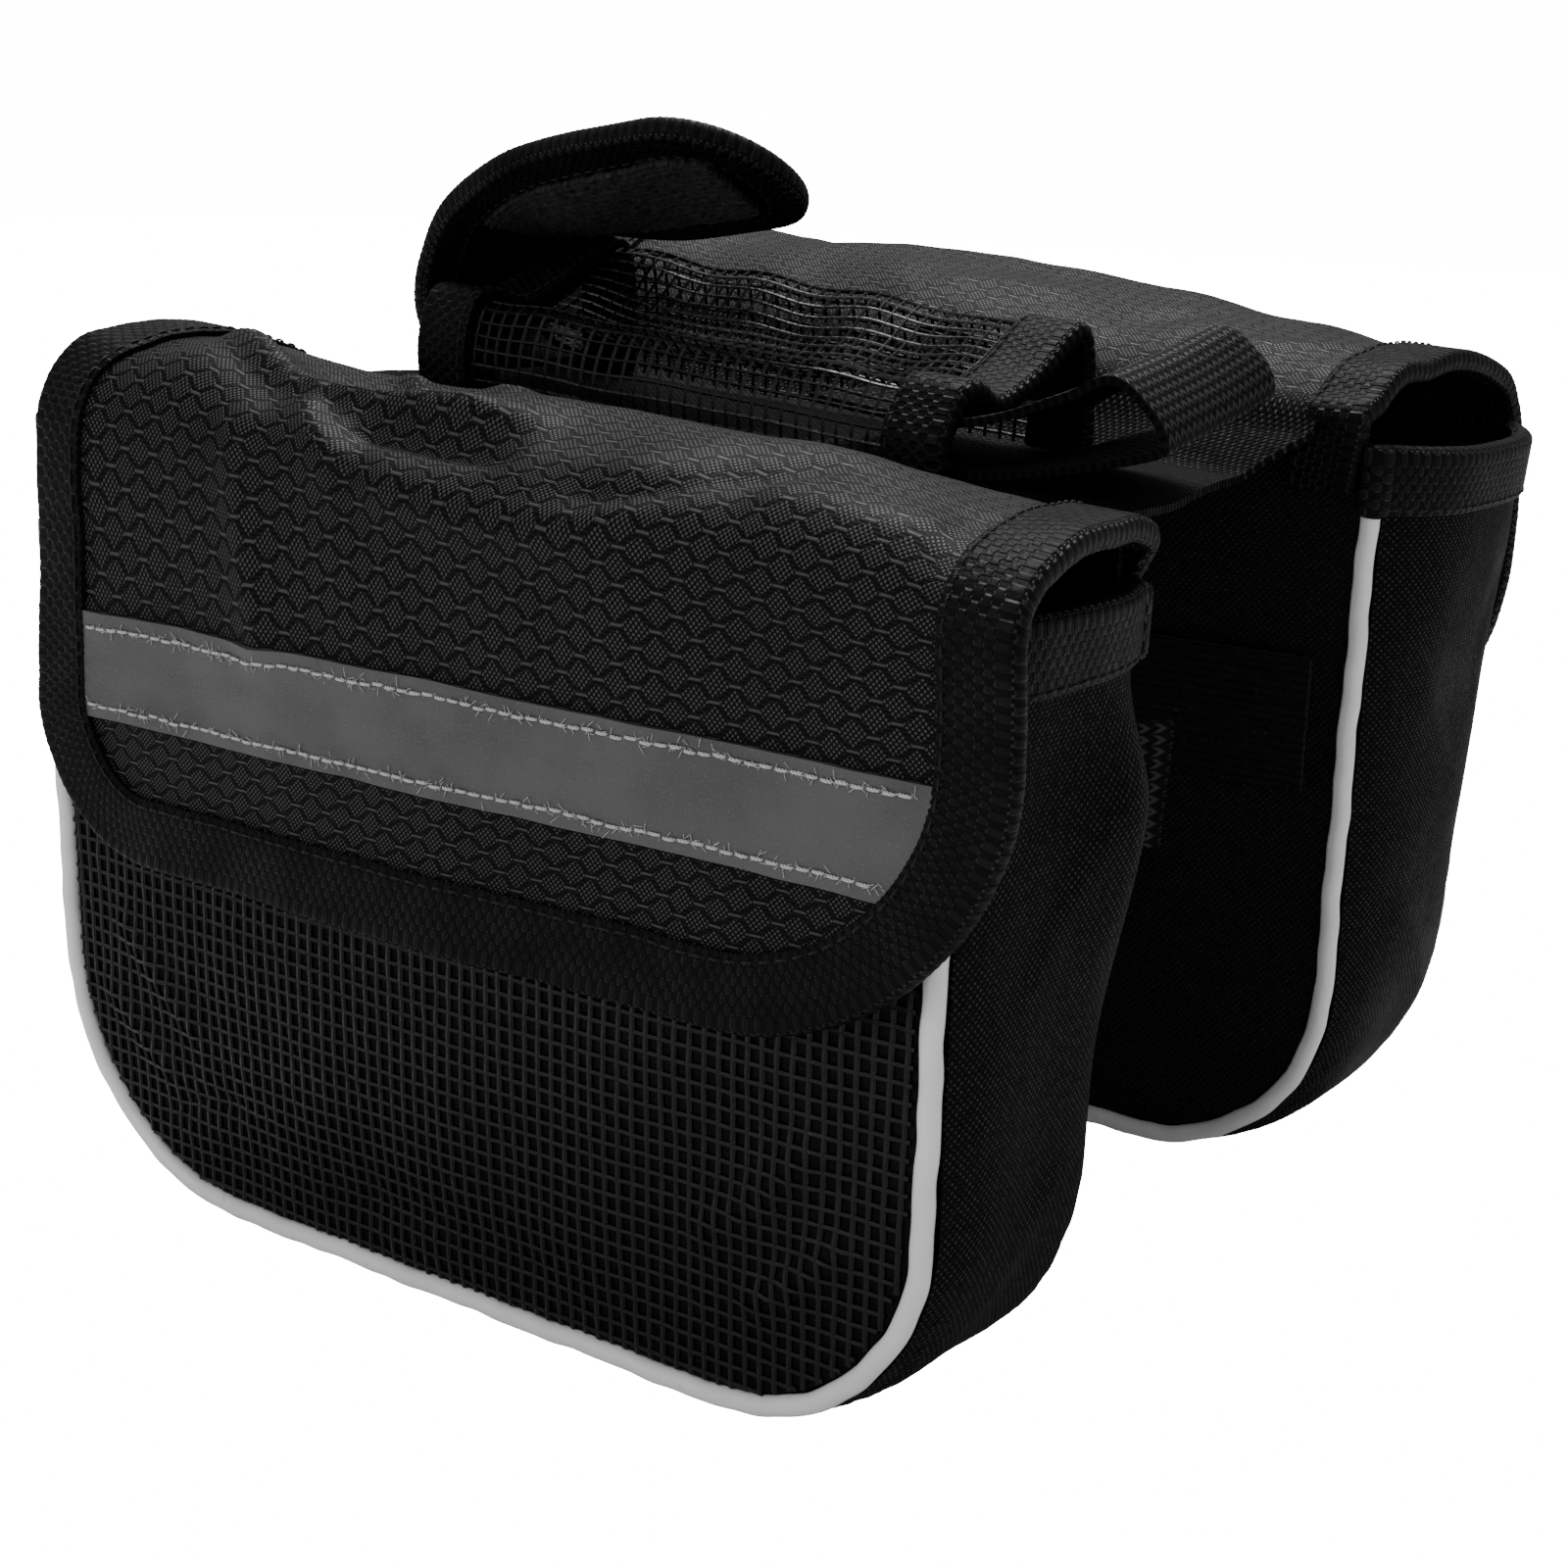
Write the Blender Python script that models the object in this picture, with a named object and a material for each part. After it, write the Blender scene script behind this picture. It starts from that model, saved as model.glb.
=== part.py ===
"""Double pouch bag for a bicycle's top tube.

Metres, +Z up. X runs along the bicycle's tube with the head strap at +X. One pouch hangs on
each side of the tube: the near one at -Y and the far one at +Y. A bridge panel joins them and
carries a net pocket for a phone, a closure tongue and the head strap.
"""
import math

import bmesh
import bpy
from mathutils import Vector

# Cloth, tape and cord
CLEAR = 0.0003              # gap that touching pieces keep
FABRIC_WALL = 0.0014        # coated cloth
TAPE_WALL = 0.0011          # woven binding tape
TAPE_WIDTH = 0.0125         # what shows of a tape folded over an edge
FOLD_ROUND = 0.75           # share of a tape's thickness that its folded edge keeps
WEB_WALL = 0.0016           # strap webbing
PATCH_WALL = 0.0012         # hook and loop pieces
STRIP_WALL = 0.0008         # reflective strip
PIPING_DIAMETER = 0.0035
NET_WALL = 0.0012
NET_BAR = 0.0022

# Pouch bodies
POUCH_LENGTH = 0.192
REAR_CORNER = 0.045         # radius of the U seam at -X
FRONT_CORNER = 0.039        # radius of the U seam at +X
POUCH_GAP = 0.090           # clear space between the two back panels
FLOOR_DEPTH = 0.049         # pouch depth at its bottom
NEAR_RIM_DEPTH = 0.050
FAR_RIM_DEPTH = 0.066       # the far pouch gapes more
NEAR_RIM_HEIGHT = 0.133
FAR_RIM_HEIGHT = 0.145
SEAM_RISE = 0.005           # flap seam above the gusset rim
NEAR_END_FLARE = 0.0018     # how far each pouch end leans out at the rim
FAR_END_FLARE = 0.0015
REAR_RISE = 0.013           # how much higher the top stands at the rear end
RISE_START = 0.106          # height where that rise begins
RISE_FULL = 0.136           # height from which it is whole
BOTTOM_BULGE = 0.0025       # gusset swell below the U seam
NEAR_SIDE_BULGE = 0.0035    # gusset swell at the rim
FAR_SIDE_BULGE = 0.0085
FRONT_PANEL_BULGE = 0.0028

# Flaps
FLAP_STANDOFF = 0.0055      # flap in front of the front panel
FLAP_BOTTOM = 0.0680        # height of the flap's lower edge
FLAP_LENGTH = 0.2025
NEAR_FLAP_SHIFT = 0.0065    # how far the flap sits off the pouch's middle, toward +X
FAR_FLAP_SHIFT = -0.0035
NEAR_FLAP_SKEW = 0.0040     # how much further toward +X the flap lies at its brow
FAR_FLAP_SKEW = 0.0
FLAP_SEAM_SHORTER = 0.0070  # each flap end is this much shorter at its seam
FLAP_TAPER = 1.3            # top runs from the seam to where the flap has its full length
FLAP_REAR_CORNER = 0.030
FLAP_FRONT_CORNER = 0.048
FLAP_WAVE = 0.0012          # height of the soft waves along a flap's top
FLAP_WAVE_COUNT = 1.6       # such waves in one pouch length
DENT_FADE_SEAM = 0.25       # share of the top run over which dents fade out at the seam
DENT_FADE_BROW = 0.28       # the same at the brow
NEAR_CROWN = 0.0075         # flap crest above its seam
FAR_CROWN = 0.0130
STRIP_TOP = 0.1115          # height of the reflective strip's upper edge
STRIP_HEIGHT = 0.018

# Bridge and phone pocket
BRIDGE_REAR = 0.084         # bridge edge from the middle, at -X
BRIDGE_FRONT = 0.080        # bridge edge from the middle, at +X
BRIDGE_SAG = 0.0030         # flat middle of the bridge below the near seam
POCKET_REAR = 0.070
POCKET_FRONT = 0.048
POCKET_WIDTH = 0.048
POCKET_REAR_HEIGHT = 0.0165
POCKET_FRONT_HEIGHT = 0.0155
POCKET_FAR_RISE = 0.0065    # the far wall stands higher
POCKET_VALLEY = 0.0045      # sag of the net between its two ridges
VALLEY_START = 0.25         # share of a half wave of sag at the rear mouth
POCKET_FOLD = 0.0035        # radius where wall turns into top
NET_GAPS_LONG = 10
NET_GAPS_SIDE = 2
NET_GAPS_TOP = 3

# Tongue
TONGUE_WIDTH = 0.040
TONGUE_ROOT = 0.0680        # tongue root from the middle, at -X
TONGUE_REACH = 0.082        # length of its run back over the pocket
TONGUE_RISE = 0.038         # crest above the bridge
TONGUE_TWIST = 25.0         # degrees that the free end leans, near edge up
TWIST_START = 0.22          # share of the tongue's length where it begins to lean
TWIST_FULL = 0.72           # share where it leans fully
TONGUE_TAPE_WIDTH = 0.008   # what shows of the tape round the tongue
PATCH_LENGTH = 0.058
PATCH_WIDTH = 0.030

# Straps
HEAD_STRAP_WIDTH = 0.038
HEAD_STRAP_END = 0.088      # fold of the head strap from the middle, at +X
HEAD_STRAP_OFFSET = -0.0018  # its middle off the bag's middle, in Y
HEAD_STRAP_ROOT = 0.018     # inner end of both layers, inside the pocket
HEAD_STRAP_LOOP = 0.0085    # height of the loop between its layers at the mouth
HEAD_STRAP_SWELL = 0.0040   # how much taller the loop is at its fold
HEAD_STRAP_LIFT = 0.0085    # how much the loose end rises
HEAD_STRAP_ROLL = 0.008     # how much higher its far edge lies
BAND_HEIGHT = 0.025
BAND_TOP = 0.105
BAND_INSET = 0.009          # each band end short of the pouch's end
SIDE_STRAP_HEIGHT = 0.021
SIDE_STRAP_TOP = 0.104
SIDE_STRAP_LENGTH = 0.076
SIDE_STRAP_END = 0.089      # free end of the side strap from the middle, at +X
SIDE_STRAP_STANDOFF = 0.028
SIDE_STRAP_SEWN = 0.4       # share of the strap that lies flat on the back panel

# Steps of the curved surfaces
CORNER_STEPS = 6
GUSSET_FLOOR_STEPS = 5
PANEL_STEPS = 8
FLAP_STEPS = 8
SECTION_STEPS = 2
TIP_STEPS = 9
MIN_STEP = 0.002            # closest that two grid rows of the tongue lie

# Worked out from the sizes above
PIPING_RADIUS = PIPING_DIAMETER / 2
PANEL_INSET = PIPING_DIAMETER + CLEAR
GUSSET_MARGIN = PIPING_RADIUS + CLEAR
TAPE_STACK = FABRIC_WALL / 2 + CLEAR + TAPE_WALL
HALF_GAP = POUCH_GAP / 2
BAND_LENGTH = POUCH_LENGTH - 2 * BAND_INSET
BRIDGE_TOP = NEAR_RIM_HEIGHT + SEAM_RISE + CLEAR + FABRIC_WALL - BRIDGE_SAG


class Pouch:
    """Sizes of one pouch. side is -1 for the near pouch and +1 for the far one."""

    def __init__(self, name, side, rim_height, rim_depth, side_bulge, flare, crown, flap_place,
                 dents):
        self.name = name
        self.side = side
        self.rim = rim_height
        self.seam = rim_height + SEAM_RISE
        self.rim_depth = rim_depth
        self.side_bulge = side_bulge
        self.flare = flare
        self.crown = crown
        self.flap_shift, self.flap_skew = flap_place
        self.dents = dents

    def depth(self, z):
        """Distance between the outer faces of the back and front panels at height z."""
        return FLOOR_DEPTH + (self.rim_depth - FLOOR_DEPTH) * z / self.rim

    def bulge(self, z):
        return BOTTOM_BULGE + (self.side_bulge - BOTTOM_BULGE) * z / self.rim

    def place(self, x, inward, z):
        """World point: inward is the distance from the back panel's outer face."""
        lean = 1 + 2 * self.flare / POUCH_LENGTH * (z / self.rim) ** 2
        return Vector((x * lean, self.side * (HALF_GAP + inward), z))


# Soft dents of a flap's top: columns are the place along X and along the top as shares of the
# flap's length and of its top run, the height as a share of the crown, and the two spreads
NEAR_DENTS = (
    (0.30, 0.42, -0.75, 0.10, 0.24),
    (0.16, 0.62, 0.35, 0.06, 0.22),
    (0.46, 0.66, -0.30, 0.14, 0.16),
    (0.74, 0.40, 0.35, 0.12, 0.20),
    (0.58, 0.16, -0.30, 0.10, 0.12),
    (1.02, 0.55, -0.60, 0.20, 0.45),
)
FAR_DENTS = (
    (0.25, 0.45, -0.10, 0.12, 0.24),
    (0.62, 0.42, -0.18, 0.18, 0.30),
    (0.85, 0.60, -0.10, 0.10, 0.20),
    (1.02, 0.50, -0.55, 0.20, 0.50),
)
# Flap section from its seam to the brow: shares of the top run and of the crown
FLAP_SECTION = (
    (0.00, 0.00),
    (0.12, 0.45),
    (0.32, 0.85),
    (0.56, 1.00),
    (0.77, 0.80),
    (0.90, 0.40),
    (0.985, -0.50),
    (1.00, -1.90),
)
# Swell of the gusset: share of its width and share of the full bulge, flat in the middle
GUSSET_SECTION = (
    (0.00, 0.00),
    (0.11, 0.60),
    (0.30, 1.00),
    (0.70, 1.00),
    (0.89, 0.60),
    (1.00, 0.00),
)
# Bridge section across Y: share of its width and how far it has come down to the flat middle
BRIDGE_SECTION = (
    (0.00, 0.0),
    (0.035, 0.0),
    (0.10, 0.55),
    (0.18, 1.0),
    (0.50, 1.0),
    (0.82, 1.0),
    (0.90, 0.55),
    (0.965, 0.0),
    (1.00, 0.0),
)
# Tongue run: share of its reach behind the root, and share of its rise
TONGUE_RUN = (
    (0.00, 0.00),
    (-0.10, 0.05),
    (-0.16, 0.24),
    (-0.14, 0.48),
    (-0.05, 0.70),
    (0.17, 0.85),
    (0.50, 1.02),
    (0.80, 1.13),
)
# Head strap from the mouth to its fold and back: share of the way out, share of its lift and
# share of the loop's height
HEAD_STRAP_RUN = (
    (0.00, 0.00, 0.00),
    (0.50, 0.45, 0.00),
    (0.95, 1.00, 0.00),
    (1.00, 1.00, 0.22),
    (0.91, 1.00, 0.62),
    (0.74, 1.00, 1.00),
    (0.50, 0.60, 1.00),
    (0.00, 0.00, 1.00),
)

NEAR = Pouch("near", -1, NEAR_RIM_HEIGHT, NEAR_RIM_DEPTH, NEAR_SIDE_BULGE, NEAR_END_FLARE,
             NEAR_CROWN, (NEAR_FLAP_SHIFT, NEAR_FLAP_SKEW), NEAR_DENTS)
FAR = Pouch("far", 1, FAR_RIM_HEIGHT, FAR_RIM_DEPTH, FAR_SIDE_BULGE, FAR_END_FLARE,
            FAR_CROWN, (FAR_FLAP_SHIFT, FAR_FLAP_SKEW), FAR_DENTS)


def clear_scene():
    for obj in list(bpy.data.objects):
        bpy.data.objects.remove(obj, do_unlink=True)


def make_material(name, color, roughness, metallic=0.0):
    mat = bpy.data.materials.new(name)
    mat.use_nodes = True
    shader = mat.node_tree.nodes["Principled BSDF"]
    shader.inputs["Base Color"].default_value = (*color, 1.0)
    shader.inputs["Roughness"].default_value = roughness
    shader.inputs["Metallic"].default_value = metallic
    return mat


def stand(point):
    """The cloth's top stands higher toward the rear end; below RISE_START nothing moves."""
    t = max(0.0, min(1.0, (point.z - RISE_START) / (RISE_FULL - RISE_START)))
    toward_rear = 0.5 - point.x / POUCH_LENGTH
    return point + Vector((0, 0, REAR_RISE * toward_rear * t * t * (3 - 2 * t)))


def mesh_object(name, verts, faces, mat):
    """Closed mesh as an object, with its faces turned to point out."""
    bm = bmesh.new()
    made = [bm.verts.new(stand(v)) for v in verts]
    for face in faces:
        bm.faces.new([made[i] for i in face])
    if bm.calc_volume(signed=True) < 0:
        bmesh.ops.reverse_faces(bm, faces=bm.faces)
    mesh = bpy.data.meshes.new(name)
    bm.to_mesh(mesh)
    bm.free()
    mesh.materials.append(mat)
    mesh.shade_smooth()
    mesh.set_sharp_from_angle(angle=math.radians(40))
    obj = bpy.data.objects.new(name, mesh)
    bpy.context.scene.collection.objects.link(obj)
    return obj


def spline(points, steps):
    """Points of a smooth curve through the given ones, steps to each span."""
    out = []
    last = len(points) - 1
    for i in range(last):
        a = points[max(i - 1, 0)]
        b = points[i]
        c = points[i + 1]
        d = points[min(i + 2, last)]
        for k in range(steps):
            t = k / steps
            out.append(0.5 * (2 * b + (c - a) * t + (2 * a - 5 * b + 4 * c - d) * t * t
                              + (3 * b - a - 3 * c + d) * t ** 3))
    out.append(points[last])
    return out


def grid_normals(rows):
    """Unit normal of the surface at each point of a grid."""
    normals = []
    for i, row in enumerate(rows):
        below = rows[max(i - 1, 0)]
        above = rows[min(i + 1, len(rows) - 1)]
        line = []
        for j in range(len(row)):
            across = row[min(j + 1, len(row) - 1)] - row[max(j - 1, 0)]
            line.append(across.cross(above[j] - below[j]).normalized())
        normals.append(line)
    return normals


def sheet(name, rows, wall, mat, is_open=None):
    """Cloth wall as a closed solid: half the wall on each side of a grid of points."""
    normals = grid_normals(rows)
    count = len(rows[0])
    cells_up = len(rows) - 1
    cells_across = count - 1
    verts = []
    for row, line in zip(rows, normals):
        for point, normal in zip(row, line):
            verts.append(point + normal * wall / 2)
            verts.append(point - normal * wall / 2)

    def solid(i, j):
        inside = 0 <= i < cells_up and 0 <= j < cells_across
        return inside and not (is_open and is_open(i, j))

    def top(i, j):
        return 2 * (i * count + j)

    faces = []
    for i in range(cells_up):
        for j in range(cells_across):
            if not solid(i, j):
                continue
            ring = [top(i, j), top(i, j + 1), top(i + 1, j + 1), top(i + 1, j)]
            faces.append(ring)
            faces.append([v + 1 for v in reversed(ring)])
            neighbours = ((i - 1, j), (i, j + 1), (i + 1, j), (i, j - 1))
            for k, (ni, nj) in enumerate(neighbours):
                if not solid(ni, nj):
                    a = ring[k]
                    b = ring[(k + 1) % 4]
                    faces.append([a, a + 1, b + 1, b])
    used = sorted({v for face in faces for v in face})
    index = {v: n for n, v in enumerate(used)}
    faces = [[index[v] for v in face] for face in faces]
    return mesh_object(name, [verts[v] for v in used], faces, mat)


def folded_tape(name, edge, inner, normals, wall, mat):
    """Tape folded over the edge of a cloth wall.

    edge and inner are matching points on the wall's middle surface, at its edge and at the
    tape's width inward.
    """
    near_face = wall / 2 + CLEAR
    far_face = near_face + TAPE_WALL
    verts = []
    for at_edge, at_inner, normal in zip(edge, inner, normals):
        out = (at_edge - at_inner).normalized()
        fold_in = at_edge + out * CLEAR
        fold_out = at_edge + out * (CLEAR + TAPE_WALL)
        verts += [
            at_inner + normal * far_face,
            fold_out + normal * far_face * FOLD_ROUND,
            fold_out - normal * far_face * FOLD_ROUND,
            at_inner - normal * far_face,
            at_inner - normal * near_face,
            fold_in - normal * near_face,
            fold_in + normal * near_face,
            at_inner + normal * near_face,
        ]
    faces = []
    for i in range(len(edge) - 1):
        for k in range(8):
            a = 8 * i + k
            b = 8 * i + (k + 1) % 8
            faces.append([a, b, b + 8, a + 8])
    last = 8 * (len(edge) - 1)
    for quad in ((0, 1, 6, 7), (1, 2, 5, 6), (2, 3, 4, 5)):
        faces.append(list(reversed(quad)))
        faces.append([last + k for k in quad])
    return mesh_object(name, verts, faces, mat)


def cord(name, points, radius, mat):
    """Round bead through the points."""
    data = bpy.data.curves.new(name, "CURVE")
    data.dimensions = "3D"
    data.bevel_depth = radius
    data.bevel_resolution = 1
    data.use_fill_caps = True
    line = data.splines.new("POLY")
    line.points.add(len(points) - 1)
    for slot, point in zip(line.points, points):
        slot.co = (*stand(point), 1.0)
    data.materials.append(mat)
    obj = bpy.data.objects.new(name, data)
    bpy.context.scene.collection.objects.link(obj)
    return obj


def u_outline(top, inset):
    """U seam from its rear top round the bottom to its front top.

    Each entry is x, z and the outward direction in X and Z.
    """
    half = POUCH_LENGTH / 2 - inset
    floor = BOTTOM_BULGE + inset
    stations = []
    corners = ((-1, REAR_CORNER - inset), (1, FRONT_CORNER - inset))
    runs = []
    for sign, radius in corners:
        run = []
        centre_x = sign * (half - radius)
        centre_z = floor + radius
        for k in range(4):
            run.append((sign * half, top + (centre_z - top) * k / 4, sign, 0.0))
        for k in range(CORNER_STEPS + 1):
            turn = math.pi / 2 * k / CORNER_STEPS
            run.append((centre_x + sign * radius * math.cos(turn),
                        centre_z - radius * math.sin(turn),
                        sign * math.cos(turn), -math.sin(turn)))
        runs.append(run)
    rear, front = runs
    stations += rear
    start = rear[-1][0]
    end = front[-1][0]
    for k in range(1, GUSSET_FLOOR_STEPS):
        stations.append((start + (end - start) * k / GUSSET_FLOOR_STEPS, floor, 0.0, -1.0))
    stations += reversed(front)
    return stations


def gusset_point(pouch, station, share, swell, offset=0.0):
    """Point on the gusset's middle surface: share runs from the back seam to the front seam."""
    x, z, out_x, out_z = station
    width = pouch.depth(z) - 2 * GUSSET_MARGIN
    push = pouch.bulge(z) * swell - FABRIC_WALL / 2 + offset
    return pouch.place(x + out_x * push, GUSSET_MARGIN + share * width, z + out_z * push)


def build_gusset(pouch, mat):
    top = pouch.rim - TAPE_WALL - CLEAR
    rows = []
    for station in u_outline(top, 0.0):
        rows.append([gusset_point(pouch, station, share, swell)
                     for share, swell in GUSSET_SECTION])
    sheet(f"{pouch.name}_gusset", rows, FABRIC_WALL, mat)


def panel_rows(top):
    """Heights of a panel's grid rows: closer where the corners turn, the last one under the rim."""
    floor = BOTTOM_BULGE + PANEL_INSET
    radius = max(REAR_CORNER, FRONT_CORNER) - PANEL_INSET
    heights = [floor + radius * (1 - math.cos(math.radians(a))) for a in range(0, 91, 15)]
    straight = top - TAPE_WIDTH - heights[-1]
    return heights + [heights[-1] + straight * k / 3 for k in (1, 2, 3)] + [top]


def panel_edge(z, sign):
    """x of a panel's edge at height z; sign -1 is the rear edge."""
    corner = REAR_CORNER if sign < 0 else FRONT_CORNER
    radius = corner - PANEL_INSET
    below = max(0.0, BOTTOM_BULGE + corner - z)
    reach = math.sqrt(max(0.0, radius ** 2 - below ** 2))
    return sign * (POUCH_LENGTH / 2 - corner + reach)


def build_panel(name, pouch, top, face, bulge, steps, mat):
    """U shaped panel. face gives the distance from the back face at a height z."""
    heights = panel_rows(top)
    rows = []
    for z in heights:
        rear = panel_edge(z, -1)
        front = panel_edge(z, 1)
        rise = min(1.0, (z - heights[0]) / (heights[-2] - heights[0]))
        row = []
        for j in range(steps + 1):
            share = j / steps
            swell = bulge * math.sin(math.pi * share) * math.sin(math.pi * rise ** 0.8)
            row.append(pouch.place(rear + (front - rear) * share, face(z) + swell, z))
        rows.append(row)
    sheet(name, rows, FABRIC_WALL, mat)


def build_piping(name, pouch, inward, mat):
    top = pouch.rim - TAPE_WIDTH - 2 * CLEAR
    points = [pouch.place(x, inward(z), z) for x, z, _, _ in u_outline(top, PIPING_RADIUS)]
    cord(name, points, PIPING_RADIUS, mat)


def rim_line(pouch, z):
    """Plan of the rim at height z: rear gusset, front panel, front gusset."""
    rear = (-POUCH_LENGTH / 2, z, -1.0, 0.0)
    front = (POUCH_LENGTH / 2, z, 1.0, 0.0)
    line = [gusset_point(pouch, rear, share, swell) for share, swell in GUSSET_SECTION]
    face = pouch.depth(z) - FABRIC_WALL / 2
    turn = POUCH_LENGTH / 2 - PIPING_RADIUS
    panel = [pouch.place(-turn, face - FABRIC_WALL / 2, z)]
    edge = -panel_edge(z, -1)
    for j in range(PANEL_STEPS + 1):
        panel.append(pouch.place(-edge + 2 * edge * j / PANEL_STEPS, face, z))
    panel.append(pouch.place(turn, face - FABRIC_WALL / 2, z))
    line += panel
    line += [gusset_point(pouch, front, share, swell)
             for share, swell in reversed(GUSSET_SECTION)]
    return line


def line_normals(edge, inner):
    """Normals of a narrow band between two matching lines."""
    normals = []
    last = len(edge) - 1
    for i in range(len(edge)):
        along = edge[min(i + 1, last)] - edge[max(i - 1, 0)]
        normals.append(along.cross(inner[i] - edge[i]).normalized())
    return normals


def build_rim_binding(pouch, mat):
    top = pouch.rim - TAPE_WALL - CLEAR
    edge = rim_line(pouch, top)
    inner = rim_line(pouch, pouch.rim - TAPE_WIDTH)
    folded_tape(f"{pouch.name}_rim_binding", edge, inner, line_normals(edge, inner),
                FABRIC_WALL, mat)


class Flap:
    """Surface of one flap. s runs down its section from the seam to its lower edge."""

    def __init__(self, pouch):
        self.pouch = pouch
        self.start = FABRIC_WALL + 2 * CLEAR
        self.base = pouch.seam + CLEAR + FABRIC_WALL / 2
        run = pouch.depth(pouch.seam) + FLAP_STANDOFF - self.start
        table = [Vector((self.start + run * share, self.base + pouch.crown * rise, 0))
                 for share, rise in FLAP_SECTION]
        self.section = spline(table, SECTION_STEPS)
        self.lengths = [0.0]
        for a, b in zip(self.section, self.section[1:]):
            self.lengths.append(self.lengths[-1] + (b - a).length)
        self.top_run = self.lengths[-1]
        self.brow = self.section[-1]
        self.end = self.top_run + self.brow.y - FLAP_BOTTOM

    def centre(self, s):
        """Distance from the back face and height at s."""
        if s >= self.top_run:
            z = self.brow.y - (s - self.top_run)
            lean = self.pouch.depth(z) - self.pouch.depth(self.brow.y)
            return self.brow.x + lean, z
        for i in range(len(self.lengths) - 1):
            if s <= self.lengths[i + 1]:
                t = (s - self.lengths[i]) / (self.lengths[i + 1] - self.lengths[i])
                point = self.section[i].lerp(self.section[i + 1], t)
                return point.x, point.y
        return self.brow.x, self.brow.y

    def dent(self, x, s):
        along = 0.5 + (x - self.pouch.flap_shift) / FLAP_LENGTH
        down = s / self.top_run
        height = 0.0
        for at_x, at_s, rise, spread_x, spread_s in self.pouch.dents:
            far = ((along - at_x) / spread_x) ** 2 + ((down - at_s) / spread_s) ** 2
            height += rise * math.exp(-far)
        fade_in = min(1.0, down / DENT_FADE_SEAM)
        fade_out = max(0.0, min(1.0, (1 - down) / DENT_FADE_BROW))
        return self.pouch.crown * height * fade_in * fade_out

    def point(self, x, s):
        inward, z = self.centre(s)
        up_from_brow = max(0.0, 1 - s / self.top_run)
        wave = math.cos(2 * math.pi * FLAP_WAVE_COUNT * x / POUCH_LENGTH)
        z += self.dent(x, s) + FLAP_WAVE * up_from_brow * wave
        skew = self.pouch.flap_skew * math.sin(math.pi * s / self.end)
        return Vector((x + skew, self.pouch.side * (HALF_GAP + inward), z))

    def edge_x(self, s, sign, inset):
        """x of the flap's end at s, with its lower corner rounded."""
        reach = FLAP_LENGTH / 2 + sign * self.pouch.flap_shift
        corner = (FLAP_REAR_CORNER if sign < 0 else FLAP_FRONT_CORNER) - inset
        reach -= FLAP_SEAM_SHORTER * max(0.0, 1 - s / (FLAP_TAPER * self.top_run))
        past = max(0.0, s - (self.end - inset - corner))
        cut = corner - math.sqrt(max(0.0, corner ** 2 - past ** 2))
        return sign * (reach - inset - cut)

    def outline(self, inset):
        """Ends and lower edge as x, s: down the rear end, along the bottom, up the front end.

        It starts one step below the seam, where the bridge's edge lies.
        """
        sides = []
        for sign, corner in ((-1, FLAP_REAR_CORNER), (1, FLAP_FRONT_CORNER)):
            radius = corner - inset
            turn_s = self.end - inset - radius
            side = [(self.edge_x(s, sign, inset), s) for s in self.lengths[1:]]
            down = [self.top_run + (turn_s - self.top_run) * k / 4 for k in (1, 2, 3)]
            down += [turn_s + radius * math.sin(math.pi / 2 * k / CORNER_STEPS)
                     for k in range(CORNER_STEPS + 1)]
            side += [(self.edge_x(s, sign, inset), s) for s in down]
            sides.append(side)
        rear, front = sides
        start = rear[-1]
        end = front[-1]
        bottom = [(start[0] + (end[0] - start[0]) * k / 6, start[1]) for k in range(1, 6)]
        return rear + bottom + list(reversed(front))

    def across(self, s, inset):
        """x of the cloth's grid columns at s, with one column where the tape ends."""
        rear = self.edge_x(s, -1, inset)
        front = self.edge_x(s, 1, inset)
        band = TAPE_WIDTH - inset
        inside = front - rear - 2 * band
        middle = [rear + band + inside * j / FLAP_STEPS for j in range(FLAP_STEPS + 1)]
        return [rear] + middle + [front]

    def rows(self, inset):
        """s of the grid rows of the cloth."""
        radius = max(FLAP_REAR_CORNER, FLAP_FRONT_CORNER) - inset
        turn_s = self.end - inset - radius
        down = [self.top_run + (turn_s - self.top_run) * k / 2 for k in (1, 2)]
        corner = [turn_s + radius * math.sin(math.pi / 2 * k / CORNER_STEPS)
                  for k in range(1, CORNER_STEPS + 1)]
        return self.lengths + down + corner


def build_flap(pouch, cloth, tape, silver):
    flap = Flap(pouch)
    hem = TAPE_WALL + CLEAR
    rows = []
    for s in flap.rows(hem):
        rows.append([flap.point(x, s) for x in flap.across(s, hem)])
    sheet(f"{pouch.name}_flap", rows, FABRIC_WALL, cloth)

    edge_xs = flap.outline(hem)
    inner_xs = flap.outline(TAPE_WIDTH)
    edge = [flap.point(x, s) for x, s in edge_xs]
    inner = [flap.point(x, s) for x, s in inner_xs]
    folded_tape(f"{pouch.name}_flap_binding", edge, inner, line_normals(edge, inner),
                FABRIC_WALL, tape)

    lift = FABRIC_WALL / 2 + CLEAR + STRIP_WALL / 2
    top_s = flap.top_run + flap.brow.y - STRIP_TOP
    rows = []
    for s in (top_s, top_s + STRIP_HEIGHT):
        rear = flap.edge_x(s, -1, TAPE_WIDTH + 3 * CLEAR)
        front = flap.edge_x(s, 1, TAPE_WIDTH + 3 * CLEAR)
        row = []
        for j in range(FLAP_STEPS + 1):
            point = flap.point(rear + (front - rear) * j / FLAP_STEPS, s)
            row.append(point + Vector((0, pouch.side * lift, 0)))
        rows.append(row)
    sheet(f"{pouch.name}_reflective_strip", rows, STRIP_WALL, silver)


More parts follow.
